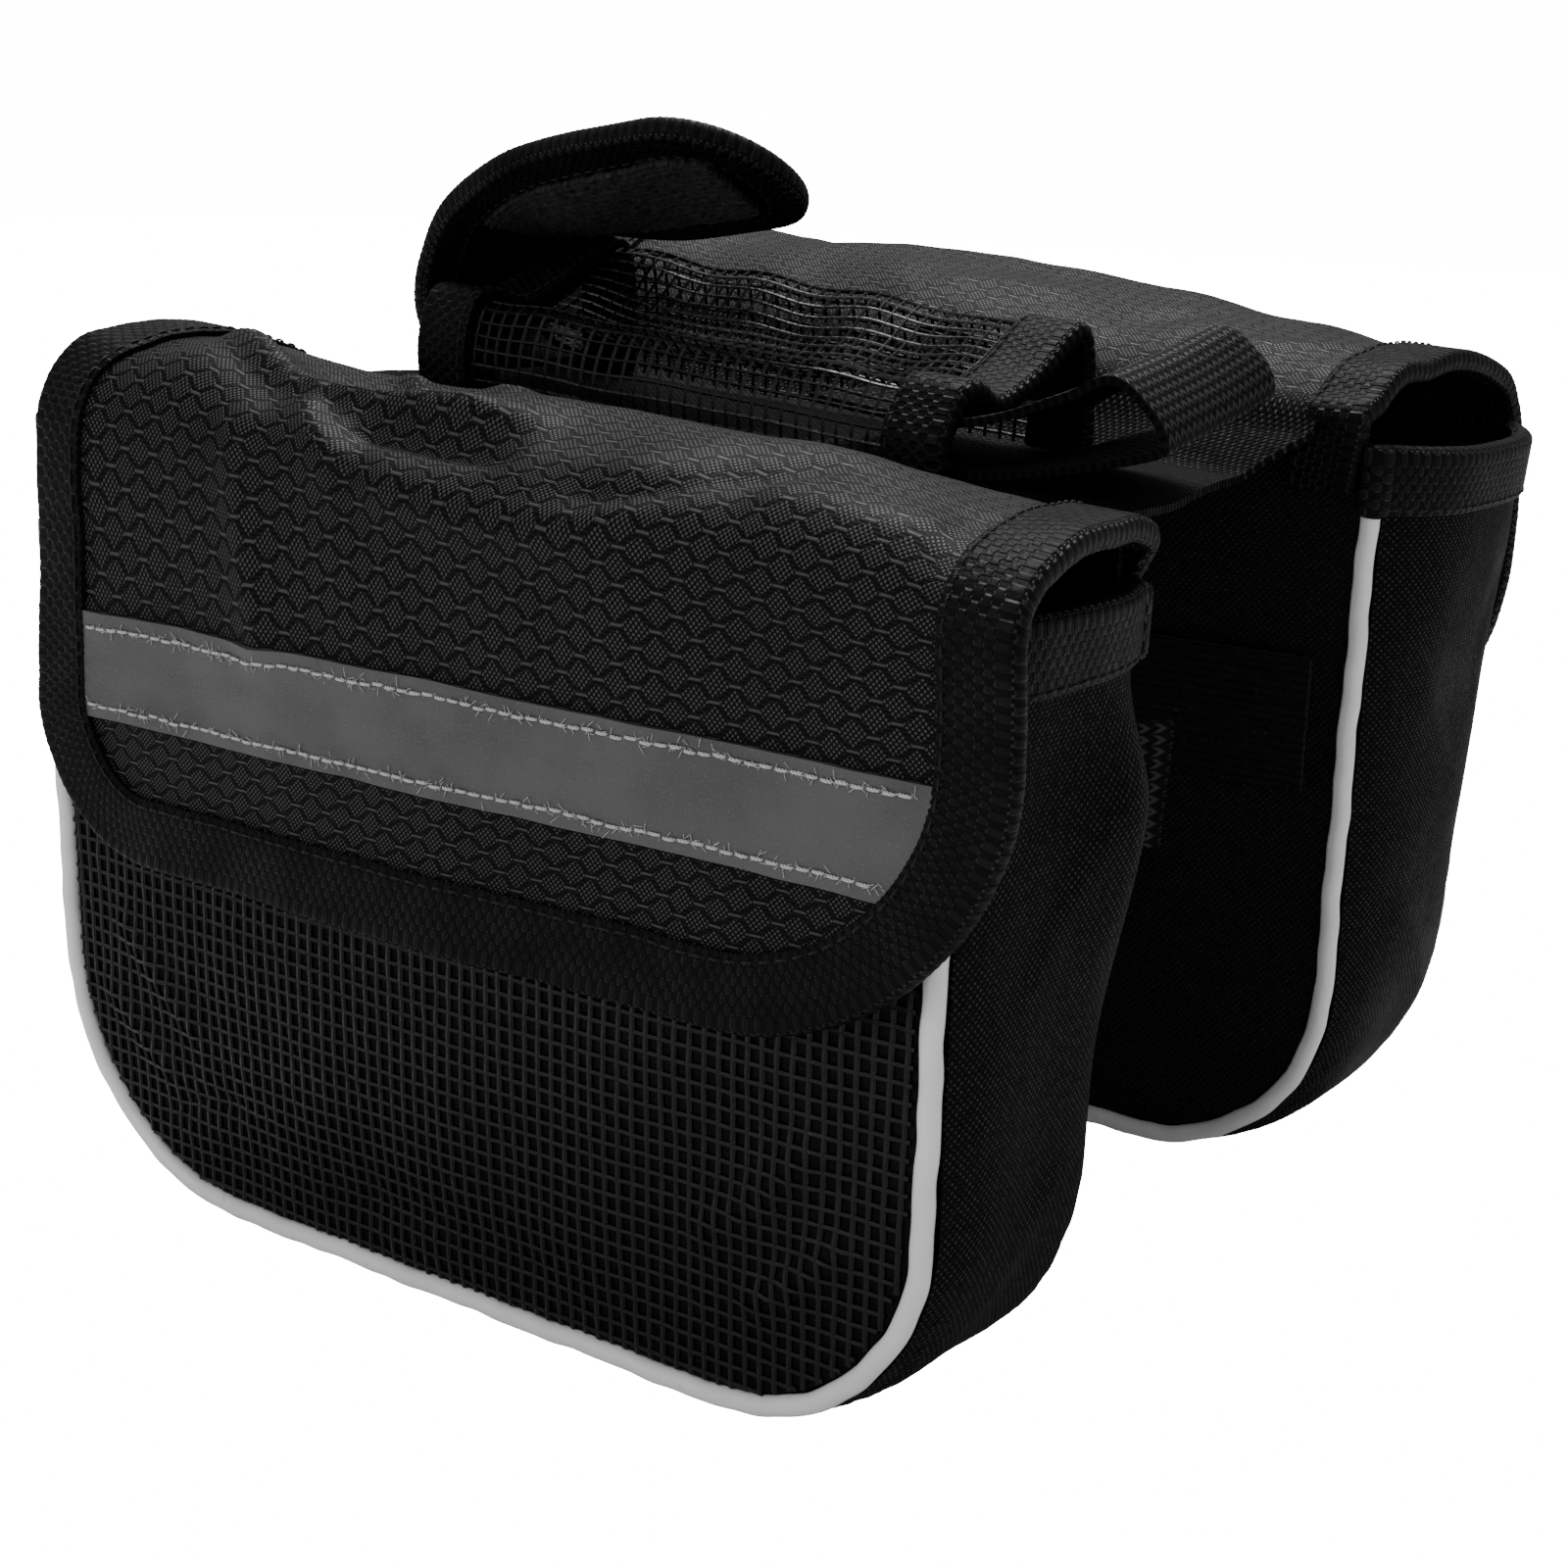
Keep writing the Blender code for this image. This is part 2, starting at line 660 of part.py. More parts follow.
def build_pouch(pouch, mats):
    build_gusset(pouch, mats["plain cloth"])
    build_panel(f"{pouch.name}_back_panel", pouch, pouch.seam,
                lambda z: FABRIC_WALL / 2, 0.0, 2, mats["plain cloth"])
    build_panel(f"{pouch.name}_front_panel", pouch, pouch.rim - TAPE_WALL - CLEAR,
                lambda z: pouch.depth(z) - FABRIC_WALL / 2, FRONT_PANEL_BULGE, PANEL_STEPS,
                mats["net cloth"])
    build_piping(f"{pouch.name}_inner_piping", pouch, lambda z: 0.0, mats["piping"])
    build_piping(f"{pouch.name}_outer_piping", pouch, pouch.depth, mats["piping"])
    build_rim_binding(pouch, mats["tape"])
    build_flap(pouch, mats["patterned cloth"], mats["tape"], mats["reflective"])


def build_bridge(mat):
    """Panel between the two pouches, flat under the pocket."""
    near_z = NEAR.seam + CLEAR + FABRIC_WALL / 2
    far_z = FAR.seam + CLEAR + FABRIC_WALL / 2
    flat_z = BRIDGE_TOP - FABRIC_WALL / 2
    reach = HALF_GAP + FABRIC_WALL
    rows = []
    for i in range(4):
        x = -BRIDGE_REAR + (BRIDGE_REAR + BRIDGE_FRONT) * i / 3
        row = []
        for share, drop in BRIDGE_SECTION:
            rim_z = near_z if share < 0.5 else far_z
            row.append(Vector((x, -reach + 2 * reach * share, rim_z + (flat_z - rim_z) * drop)))
        rows.append(row)
    sheet("bridge_panel", rows, FABRIC_WALL, mat)


def pocket_section(x):
    """Middle line of the pocket across Y at x, with a solid bar at its hems and folds."""
    share = (x + POCKET_REAR) / (POCKET_REAR + POCKET_FRONT)
    height = POCKET_REAR_HEIGHT + (POCKET_FRONT_HEIGHT - POCKET_REAR_HEIGHT) * share
    half = POCKET_WIDTH / 2
    floor = BRIDGE_TOP + CLEAR
    phase = VALLEY_START + (1 - VALLEY_START) * share
    valley = POCKET_VALLEY * math.sin(math.pi * phase) ** 2
    points = []
    tops = (floor + height, floor + height + POCKET_FAR_RISE)
    for sign, top in ((-1, tops[0]), (1, tops[1])):
        wall = []
        free = top - POCKET_FOLD - floor
        gap = (free - NET_BAR * NET_GAPS_SIDE) / NET_GAPS_SIDE
        z = floor
        for _ in range(NET_GAPS_SIDE):
            wall.append(Vector((x, sign * half, z)))
            z += NET_BAR
            wall.append(Vector((x, sign * half, z)))
            z += gap
        for angle in (0, 45, 90):
            turn = math.radians(angle)
            wall.append(Vector((x, sign * (half - POCKET_FOLD * (1 - math.cos(turn))),
                                top - POCKET_FOLD * (1 - math.sin(turn)))))
        points.append(wall)
    near, far = points
    across = 2 * (half - POCKET_FOLD)
    gap = (across - NET_BAR * (NET_GAPS_TOP - 1)) / NET_GAPS_TOP
    middle = []
    y = -across / 2
    for k in range(2 * NET_GAPS_TOP - 2):
        y += gap if k % 2 == 0 else NET_BAR
        part = (y + across / 2) / across
        z = tops[0] + (tops[1] - tops[0]) * part - valley * math.sin(math.pi * part)
        middle.append(Vector((x, y, z)))
    return near + middle + list(reversed(far))


def build_pocket(net, tape):
    length = POCKET_REAR + POCKET_FRONT
    hem = TAPE_WIDTH
    gap = (length - 2 * hem - NET_BAR * (NET_GAPS_LONG - 1)) / NET_GAPS_LONG
    stations = [-POCKET_REAR, -POCKET_REAR + hem]
    for k in range(2 * NET_GAPS_LONG - 1):
        stations.append(stations[-1] + (gap if k % 2 == 0 else NET_BAR))
    stations.append(POCKET_FRONT)
    rows = [pocket_section(x) for x in stations]
    wall_cells = 2 * NET_GAPS_SIDE
    top_start = wall_cells + 2
    top_cells = 2 * NET_GAPS_TOP - 1
    last = top_start + top_cells + 2 + wall_cells

    def is_open(i, j):
        if i % 2 == 0:
            return False
        if j < wall_cells:
            return j % 2 == 1
        if top_start <= j < top_start + top_cells:
            return (j - top_start) % 2 == 0
        if j >= last - wall_cells:
            return (last - 1 - j) % 2 == 1
        return False

    sheet("phone_pocket_net", rows, NET_WALL, net, is_open)
    mouths = (("rear", -POCKET_REAR, 1), ("front", POCKET_FRONT, -1))
    for name, x, inward in mouths:
        edge = pocket_section(x)
        inner = pocket_section(x + inward * (TAPE_WIDTH - CLEAR - TAPE_WALL))
        inner = [Vector((x + inward * (TAPE_WIDTH - CLEAR - TAPE_WALL), p.y, p.z)) for p in inner]
        folded_tape(f"pocket_{name}_binding", edge, inner, line_normals(edge, inner),
                    NET_WALL, tape)


class Tongue:
    """Ribbon that leaves the bridge behind the pocket and curls back over it."""

    def __init__(self):
        base = BRIDGE_TOP + CLEAR + TAPE_STACK
        table = [Vector((-TONGUE_ROOT + TONGUE_REACH * along, 0, base + TONGUE_RISE * up))
                 for along, up in TONGUE_RUN]
        self.line = spline(table, SECTION_STEPS)
        self.lengths = [0.0]
        for a, b in zip(self.line, self.line[1:]):
            self.lengths.append(self.lengths[-1] + (b - a).length)
        self.end = self.lengths[-1]

    def frame(self, s):
        """Point on the middle line and direction to the near edge at s."""
        count = len(self.line) - 1
        i = 0
        while i < count - 1 and s > self.lengths[i + 1]:
            i += 1
        along = (self.line[i + 1] - self.line[i]).normalized()
        point = self.line[i] + along * (s - self.lengths[i])
        blend = max(0.0, min(1.0, (s / self.end - TWIST_START) / (TWIST_FULL - TWIST_START)))
        turn = math.radians(TONGUE_TWIST) * blend * blend * (3 - 2 * blend)
        side = Vector((0, -1, 0))
        up = side.cross(along).normalized()
        return point, side * math.cos(turn) + up * math.sin(turn)

    def point(self, s, across):
        point, side = self.frame(s)
        return point + side * across

    def half_width(self, s, inset):
        """Half width at s, with a round tip."""
        half = TONGUE_WIDTH / 2 - inset
        left = self.end - inset - s
        if left >= half:
            return half
        return math.sqrt(max(0.0, half ** 2 - (half - left) ** 2))

    def stops(self, half, inset):
        """s of the grid rows up to where the tip begins."""
        turn_s = self.end - inset - half
        return [s for s in self.lengths if s < turn_s - MIN_STEP] + [turn_s]

    def outline(self, inset):
        """Both edges and the round tip as s, across."""
        half = TONGUE_WIDTH / 2 - inset
        stops = self.stops(half, inset)
        turn_s = stops[-1]
        near = [(s, half) for s in stops]
        tip = []
        for k in range(1, TIP_STEPS):
            turn = math.pi * k / TIP_STEPS
            tip.append((turn_s + half * math.sin(turn), half * math.cos(turn)))
        far = [(s, -half) for s in reversed(stops)]
        return near + tip + far


def build_tongue(cloth, tape, hook):
    tongue = Tongue()
    hem = TAPE_WALL + CLEAR
    half = TONGUE_WIDTH / 2 - hem
    stops = tongue.stops(half, hem)
    stops += [stops[-1] + half * math.sin(math.radians(a)) for a in (20, 40, 60, 80)]
    rows = []
    for s in stops:
        reach = tongue.half_width(s, hem)
        at_tape = reach * (TONGUE_WIDTH / 2 - TONGUE_TAPE_WIDTH) / half
        rows.append([tongue.point(s, across)
                     for across in (-reach, -at_tape, 0.0, at_tape, reach)])
    sheet("closure_tongue", rows, FABRIC_WALL, cloth)

    edge = [tongue.point(s, across) for s, across in tongue.outline(hem)]
    inner = [tongue.point(s, across) for s, across in tongue.outline(TONGUE_TAPE_WIDTH)]
    loose_wall = FABRIC_WALL + 2 * CLEAR
    folded_tape("tongue_binding", edge, inner, line_normals(edge, inner), loose_wall, tape)

    start = tongue.end - TAPE_WIDTH - PATCH_LENGTH
    end = start + PATCH_LENGTH
    lift = FABRIC_WALL / 2 + 3 * CLEAR + PATCH_WALL / 2
    between = [s for s in tongue.lengths if start + MIN_STEP < s < end - MIN_STEP]
    rows = []
    for s in [start] + between + [end]:
        reach = min(PATCH_WIDTH / 2, tongue.half_width(s, TONGUE_TAPE_WIDTH + 2 * CLEAR))
        rows.append([tongue.point(s, reach * share) for share in (-1.0, -0.5, 0.0, 0.5, 1.0)])
    lifted = [[point - normal * lift for point, normal in zip(row, line)]
              for row, line in zip(rows, grid_normals(rows))]
    sheet("tongue_patch", lifted, PATCH_WALL, hook)


def build_head_strap(mat):
    """Webbing loop that comes out of the pocket's front mouth and folds back into it."""
    low = BRIDGE_TOP + CLEAR + WEB_WALL / 2
    out = HEAD_STRAP_END - WEB_WALL / 2 - POCKET_FRONT
    path = [Vector((POCKET_FRONT + out * along, 0,
                    low + HEAD_STRAP_LIFT * lift
                    + (HEAD_STRAP_LOOP + HEAD_STRAP_SWELL * along) * loop))
            for along, lift, loop in HEAD_STRAP_RUN]
    path.insert(0, Vector((HEAD_STRAP_ROOT, 0, path[0].z)))
    path.append(Vector((HEAD_STRAP_ROOT, 0, path[-1].z)))
    rows = []
    for point in spline(path, SECTION_STEPS):
        free = max(0.0, (point.x - POCKET_FRONT) / out)
        row = []
        for share in (0.0, 0.5, 1.0):
            y = HEAD_STRAP_OFFSET + HEAD_STRAP_WIDTH * (share - 0.5)
            row.append(point + Vector((0, y, HEAD_STRAP_ROLL * free * share)))
        rows.append(row)
    sheet("head_strap", rows, WEB_WALL, mat)


def build_side_straps(hook, web):
    """Loop band on the far back panel, and the strap on the near one that reaches for it."""
    face = HALF_GAP - CLEAR - PATCH_WALL / 2
    rows = []
    for z in (BAND_TOP - BAND_HEIGHT, BAND_TOP):
        rows.append([Vector((BAND_LENGTH * side, face, z)) for side in (-0.5, 0.5)])
    sheet("fastening_band", rows, PATCH_WALL, hook)

    face = HALF_GAP - CLEAR - WEB_WALL / 2
    start = SIDE_STRAP_END - SIDE_STRAP_LENGTH
    rows = []
    for z in (SIDE_STRAP_TOP - SIDE_STRAP_HEIGHT, SIDE_STRAP_TOP):
        row = []
        for j in range(11):
            share = j / 10
            free = max(0.0, (share - SIDE_STRAP_SEWN) / (1 - SIDE_STRAP_SEWN))
            away = SIDE_STRAP_STANDOFF * free ** 2
            row.append(Vector((start + SIDE_STRAP_LENGTH * share, -face + away, z)))
        rows.append(row)
    sheet("fastening_strap", rows, WEB_WALL, web)


def settle():
    """Put the origin at the bottom centre of the bag's box."""
    low = Vector((math.inf, math.inf, math.inf))
    high = -low
    bpy.context.view_layer.update()
    graph = bpy.context.evaluated_depsgraph_get()
    for obj in bpy.context.scene.objects:
        solid = obj.evaluated_get(graph)
        for vert in solid.to_mesh().vertices:
            for axis in range(3):
                low[axis] = min(low[axis], vert.co[axis])
                high[axis] = max(high[axis], vert.co[axis])
        solid.to_mesh_clear()
    shift = Vector(((low.x + high.x) / 2, (low.y + high.y) / 2, low.z))
    for obj in bpy.context.scene.objects:
        obj.location = obj.location - shift


def main():
    clear_scene()
    mats = {
        "plain cloth": make_material("plain black cloth", (0.012, 0.012, 0.013), 0.75),
        "net cloth": make_material("black cloth under net", (0.010, 0.010, 0.011), 0.60),
        "patterned cloth": make_material("patterned black cloth", (0.014, 0.014, 0.015), 0.50),
        "tape": make_material("black woven tape", (0.013, 0.013, 0.014), 0.70),
        "piping": make_material("white piping", (0.80, 0.80, 0.80), 0.35),
        "reflective": make_material("grey reflective strip", (0.07, 0.07, 0.075), 0.45, 0.2),
        "net": make_material("black coated net", (0.011, 0.011, 0.012), 0.40),
        "hook": make_material("black hook and loop", (0.008, 0.008, 0.009), 0.95),
        "web": make_material("black webbing", (0.013, 0.013, 0.014), 0.70),
    }
    for pouch in (NEAR, FAR):
        build_pouch(pouch, mats)
    build_bridge(mats["plain cloth"])
    build_pocket(mats["net"], mats["tape"])
    build_tongue(mats["plain cloth"], mats["tape"], mats["hook"])
    build_head_strap(mats["web"])
    build_side_straps(mats["hook"], mats["web"])
    settle()


main()
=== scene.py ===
"""Double pouch bag for a bicycle's top tube, as it looks: cloth, nets, tapes and stitches.

Metres, +Z up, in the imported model's frame. The near pouch is at -Y and the far one at +Y. The
cloth is shaped by functions of its own coordinates, not by a simulation.
"""
import math

import bpy
import numpy as np
from mathutils import Matrix, Vector


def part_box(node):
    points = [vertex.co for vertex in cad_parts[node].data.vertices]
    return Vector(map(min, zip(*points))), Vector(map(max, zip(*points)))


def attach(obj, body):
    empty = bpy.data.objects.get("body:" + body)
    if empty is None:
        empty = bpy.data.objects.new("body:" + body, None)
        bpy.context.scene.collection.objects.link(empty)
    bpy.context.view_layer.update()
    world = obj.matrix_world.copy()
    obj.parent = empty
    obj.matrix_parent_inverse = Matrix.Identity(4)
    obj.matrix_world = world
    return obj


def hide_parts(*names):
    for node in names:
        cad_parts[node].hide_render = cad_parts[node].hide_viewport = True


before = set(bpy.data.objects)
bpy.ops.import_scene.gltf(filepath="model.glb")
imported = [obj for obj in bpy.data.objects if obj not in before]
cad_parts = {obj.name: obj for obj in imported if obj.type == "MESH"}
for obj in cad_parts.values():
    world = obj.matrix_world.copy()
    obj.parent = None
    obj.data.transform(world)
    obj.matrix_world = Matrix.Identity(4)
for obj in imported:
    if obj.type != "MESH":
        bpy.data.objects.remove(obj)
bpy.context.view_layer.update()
RNG = np.random.default_rng(7)
PI = math.pi

# Sizes of the bag, as in the part
CLEAR = 0.0003
FABRIC_WALL = 0.0014
TAPE_WALL = 0.0011
TAPE_WIDTH = 0.0125
WEB_WALL = 0.0016
PATCH_WALL = 0.0012
PATCH_LENGTH = 0.058
PATCH_WIDTH = 0.030
STRIP_WALL = 0.0008
PIPING_DIAMETER = 0.0035
PIPING_RADIUS = PIPING_DIAMETER / 2
POUCH_LENGTH = 0.192
REAR_CORNER = 0.045
FRONT_CORNER = 0.039
HALF_GAP = 0.045
FLOOR_DEPTH = 0.049
SEAM_RISE = 0.005
NEAR_RIM = 0.133
FAR_RIM = 0.145
REAR_RISE = 0.013
RISE_START = 0.106
RISE_FULL = 0.136
BOTTOM_BULGE = 0.0025
FRONT_PANEL_BULGE = 0.0028
PANEL_INSET = PIPING_DIAMETER + CLEAR
PANEL_LOW = BOTTOM_BULGE + PANEL_INSET
GUSSET_MARGIN = PIPING_RADIUS + CLEAR
FLAP_STANDOFF = 0.0055
FLAP_BOTTOM = 0.0680
FLAP_LENGTH = 0.2025
FLAP_SEAM_SHORTER = 0.0070
FLAP_TAPER = 1.3
FLAP_WAVE = 0.0012
FLAP_WAVE_COUNT = 1.6
FLAP_REAR_CORNER = 0.030
FLAP_FRONT_CORNER = 0.048
STRIP_TOP = 0.1115
STRIP_HEIGHT = 0.018
BRIDGE_REAR = 0.084
BRIDGE_FRONT = 0.080
BRIDGE_SAG = 0.0030
BRIDGE_TOP = NEAR_RIM + SEAM_RISE + CLEAR + FABRIC_WALL - BRIDGE_SAG
POCKET_REAR = 0.070
POCKET_FRONT = 0.048
POCKET_WIDTH = 0.048
POCKET_WALL = 0.0012
TONGUE_WIDTH = 0.040
TONGUE_ROOT = 0.0680
TONGUE_REACH = 0.082
TONGUE_RISE = 0.038
TONGUE_TWIST = math.radians(25.0)
TONGUE_TAPE_WIDTH = 0.008
HEAD_STRAP_WIDTH = 0.038
HEAD_STRAP_END = 0.088
HEAD_STRAP_GAP = 0.0085
HEAD_STRAP_SWELL = 0.0040
HEAD_STRAP_ROOT = 0.018
HEAD_STRAP_ROLL = 0.008
HEAD_STRAP_OFFSET = -0.0018
BAND_INSET = 0.009
BAND_TOP = 0.105
BAND_HEIGHT = 0.025
SIDE_STRAP_ROOT = 0.013
SIDE_STRAP_LENGTH = 0.076
SIDE_STRAP_TOP = 0.104
SIDE_STRAP_WIDTH = 0.021
SIDE_STRAP_STANDOFF = 0.028
HEM = TAPE_WALL + CLEAR

# Sizes of what only the scene has
NET_CELL = (0.00270, 0.00285)
NET_BAR = (0.00098, 0.00066)
NET_STEP = 0.00138
POCKET_BAR = (0.00070, 0.00060)
STITCH_PITCH = 0.0030
STITCH_LENGTH = 0.0021
LINT_COUNT = 260

# The part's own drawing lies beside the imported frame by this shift
SHIFT = np.array(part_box("fastening_band")[0]) - np.array(
    (-POUCH_LENGTH / 2 + BAND_INSET, HALF_GAP - CLEAR - PATCH_WALL, BAND_TOP - BAND_HEIGHT))


# Numbers and meshes

def smooth(t):
    t = np.clip(t, 0.0, 1.0)
    return t * t * (3 - 2 * t)


def unit(v):
    return v / np.maximum(np.linalg.norm(v, axis=-1, keepdims=True), 1e-12)


def vec(*parts):
    return np.stack(np.broadcast_arrays(*[np.asarray(p, float) for p in parts]), axis=-1)


def spline(points, steps):
    """Dense smooth curve through a short table of points."""
    p = np.asarray(points, float)
    p = np.concatenate([p[:1], p, p[-1:]])
    out = []
    for i in range(len(p) - 3):
        a, b, c, d = p[i:i + 4]
        t = (np.arange(steps) / steps)[:, None]
        out.append(0.5 * (2 * b + (c - a) * t + (2 * a - 5 * b + 4 * c - d) * t ** 2
                          + (3 * b - a - 3 * c + d) * t ** 3))
    return np.concatenate(out + [p[-1:]])


def run_lengths(line):
    return np.concatenate([[0], np.cumsum(np.linalg.norm(np.diff(line, axis=0), axis=1))])


def look_up(s, at, rows):
    """Rows known at the lengths at, read at s."""
    return np.stack([np.interp(s, at, column) for column in rows.T], axis=-1)


def evenly(at, step, *lines):
    """Even steps along the lengths at, and matching lines read there."""
    s = np.linspace(0, at[-1], int(round(at[-1] / step)) + 1)
    return [s] + [look_up(s, at, line) for line in lines]


def wrinkles(u, v, scale, seed, stretch=1.0):
    """Soft random waves between about -1 and 1, of a size given in metres."""
    rng = np.random.default_rng(seed)
    total = 0.0
    for _ in range(7):
        angle = rng.uniform(0, 2 * PI)
        freq = 2 * PI / scale * rng.uniform(0.5, 1.5)
        total = total + np.sin(freq * (u * math.cos(angle) + v * stretch * math.sin(angle))
                               + rng.uniform(0, 2 * PI))
    return total / 3.5


def stand(p):
    """The cloth's top stands higher toward the rear end."""
    p = np.array(p, float)
    t = smooth((p[..., 2] - RISE_START) / (RISE_FULL - RISE_START))
    p[..., 2] += REAR_RISE * (0.5 - p[..., 0] / POUCH_LENGTH) * t
    return p


def add_object(name, data):
    obj = bpy.data.objects.new(name, data)
    bpy.context.scene.collection.objects.link(obj)
    return obj


def make_mesh(name, verts, quads, uvs, mat, placed=True):
    """Mesh from points, quads and a UV in metres for each point."""
    verts = np.asarray(verts, float).reshape(-1, 3)
    if placed:
        verts = stand(verts) + SHIFT
    quads = np.asarray(quads, np.int32).reshape(-1, 4)
    mesh = bpy.data.meshes.new(name)
    mesh.vertices.add(len(verts))
    mesh.vertices.foreach_set("co", verts.astype(np.float32).ravel())
    mesh.loops.add(quads.size)
    mesh.loops.foreach_set("vertex_index", quads.ravel())
    mesh.polygons.add(len(quads))
    mesh.polygons.foreach_set("loop_start", np.arange(0, quads.size, 4, dtype=np.int32))
    mesh.polygons.foreach_set("use_smooth", np.ones(len(quads), bool))
    layer = mesh.uv_layers.new(name="UVMap")
    flat = np.asarray(uvs, float).reshape(-1, 2)[quads.ravel()]
    layer.data.foreach_set("uv", flat.astype(np.float32).ravel())
    mesh.update()
    mesh.validate()
    mesh.set_sharp_from_angle(angle=math.radians(50))
    mesh.materials.append(mat)
    return add_object(name, mesh)


def own(obj, slot, *nodes):
    """Rides with the bag and stands for CAD nodes, which it hides; the slot is not used."""
    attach(obj, "root")
    if nodes:
        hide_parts(*nodes)
    return obj


def with_normal(point, a, b, e):
    """A surface's points and normals, from its point function and a small step."""
    p = point(a, b)
    return p, unit(np.cross(point(a + e, b) - p, point(a, b + e) - p))


def grid_normals(grid):
    return unit(np.cross(np.gradient(grid, axis=1), np.gradient(grid, axis=0)))


def cloth(name, grid, uv, wall, mat, normals=None):
    """Thin closed cloth: half the wall on each side of a grid of points."""
    n = grid_normals(grid) if normals is None else normals
    turned = np.sum(grid_normals(grid) * n) < 0
    ids = np.arange(grid[..., 0].size).reshape(grid.shape[:2])
    front = np.stack([ids[:-1, :-1], ids[:-1, 1:], ids[1:, 1:], ids[1:, :-1]],
                     axis=-1).reshape(-1, 4)
    ring = np.concatenate([ids[0, :-1], ids[:-1, -1], ids[-1, :0:-1], ids[:0:-1, 0]])
    after = np.roll(ring, -1)
    rim = np.stack([after, ring, ring + ids.size, after + ids.size], axis=-1)
    quads = np.concatenate([front, front[:, ::-1] + ids.size, rim])
    verts = np.concatenate([(grid + n * wall / 2).reshape(-1, 3),
                            (grid - n * wall / 2).reshape(-1, 3)])
    uvs = np.tile(uv.reshape(-1, 2), (2, 1))
    return make_mesh(name, verts, quads[:, ::-1] if turned else quads, uvs, mat)


def ring_quads(stations, around, start=0):
    """Quads between closed rings of points that follow each other."""
    i, j = np.meshgrid(np.arange(stations - 1), np.arange(around), indexing="ij")
    a, b = (start + i * around + k % around for k in (j, j + 1))
    return np.stack([a, b, b + around, a + around], axis=-1).reshape(-1, 4)


def tube_quads(stations, around, start=0):
    """A tube's wall and its two ends."""
    quads = [ring_quads(stations, around, start)]
    for base, turn in ((start, -1), (start + (stations - 1) * around, 1)):
        for k in range(around // 2 - 1):
            quad = [base + k, base + k + 1, base + around - 2 - k, base + around - 1 - k]
            quads.append(np.array([quad[::turn]]))
    return np.concatenate(quads)


def tubes(name, lines, normals, size, around, mat, swell=0.06):
    """Flat round bars along lines; the size's first part lies in the surface."""
    width, height = size
    verts, quads, uvs, count = [], [], [], 0
    turn = 2 * PI * np.arange(around) / around
    for n, (line, normal) in enumerate(zip(lines, normals)):
        along = unit(np.gradient(line, axis=0))
        side = unit(np.cross(along, normal))[:, None]
        up = np.cross(side, along[:, None])
        at = run_lengths(line)[:, None]
        thick = 1 + swell * np.sin(at / 0.0011 + 1.7 * n)
        verts.append((line[:, None] + side * (np.cos(turn) * width / 2 * thick)[..., None]
                      + up * (np.sin(turn) * height / 2 * thick)[..., None]).reshape(-1, 3))
        quads.append(tube_quads(len(line), around, count))
        uvs.append(vec(at, turn * width / 2).reshape(-1, 2))
        count += len(line) * around
    return make_mesh(name, np.concatenate(verts), np.concatenate(quads), np.concatenate(uvs), mat)


def capsules(name, starts, ends, normals, radius, mat, sides=6):
    """Short threads: round bars with drawn in ends, arched out along the normal."""
    starts, ends = (stand(p) + SHIFT for p in (starts, ends))
    shares = np.array([0.0, 0.12, 0.5, 0.88, 1.0])
    sizes = np.array([0.25, 0.85, 1.0, 0.85, 0.25])
    rise = np.array([-0.5, 0.4, 1.0, 0.4, -0.5]) * radius * 0.7
    side = unit(np.cross(unit(ends - starts), normals))
    up = np.cross(side, unit(ends - starts))
    turn = 2 * PI * np.arange(sides) / sides
    centre = (starts[:, None] + (ends - starts)[:, None] * shares[:, None]
              + up[:, None] * rise[:, None])
    ring = (side[:, None, None] * np.cos(turn)[:, None]
            + up[:, None, None] * np.sin(turn)[:, None])
    verts = centre[:, :, None] + ring * (radius * sizes)[:, None, None]
    first = np.arange(len(starts)) * len(shares) * sides
    quads = tube_quads(len(shares), sides) + first[:, None, None]
    at = np.broadcast_to(shares[:, None] * 0.002, verts.shape[:3])
    return make_mesh(name, verts, quads, vec(at, turn * radius), mat, placed=False)


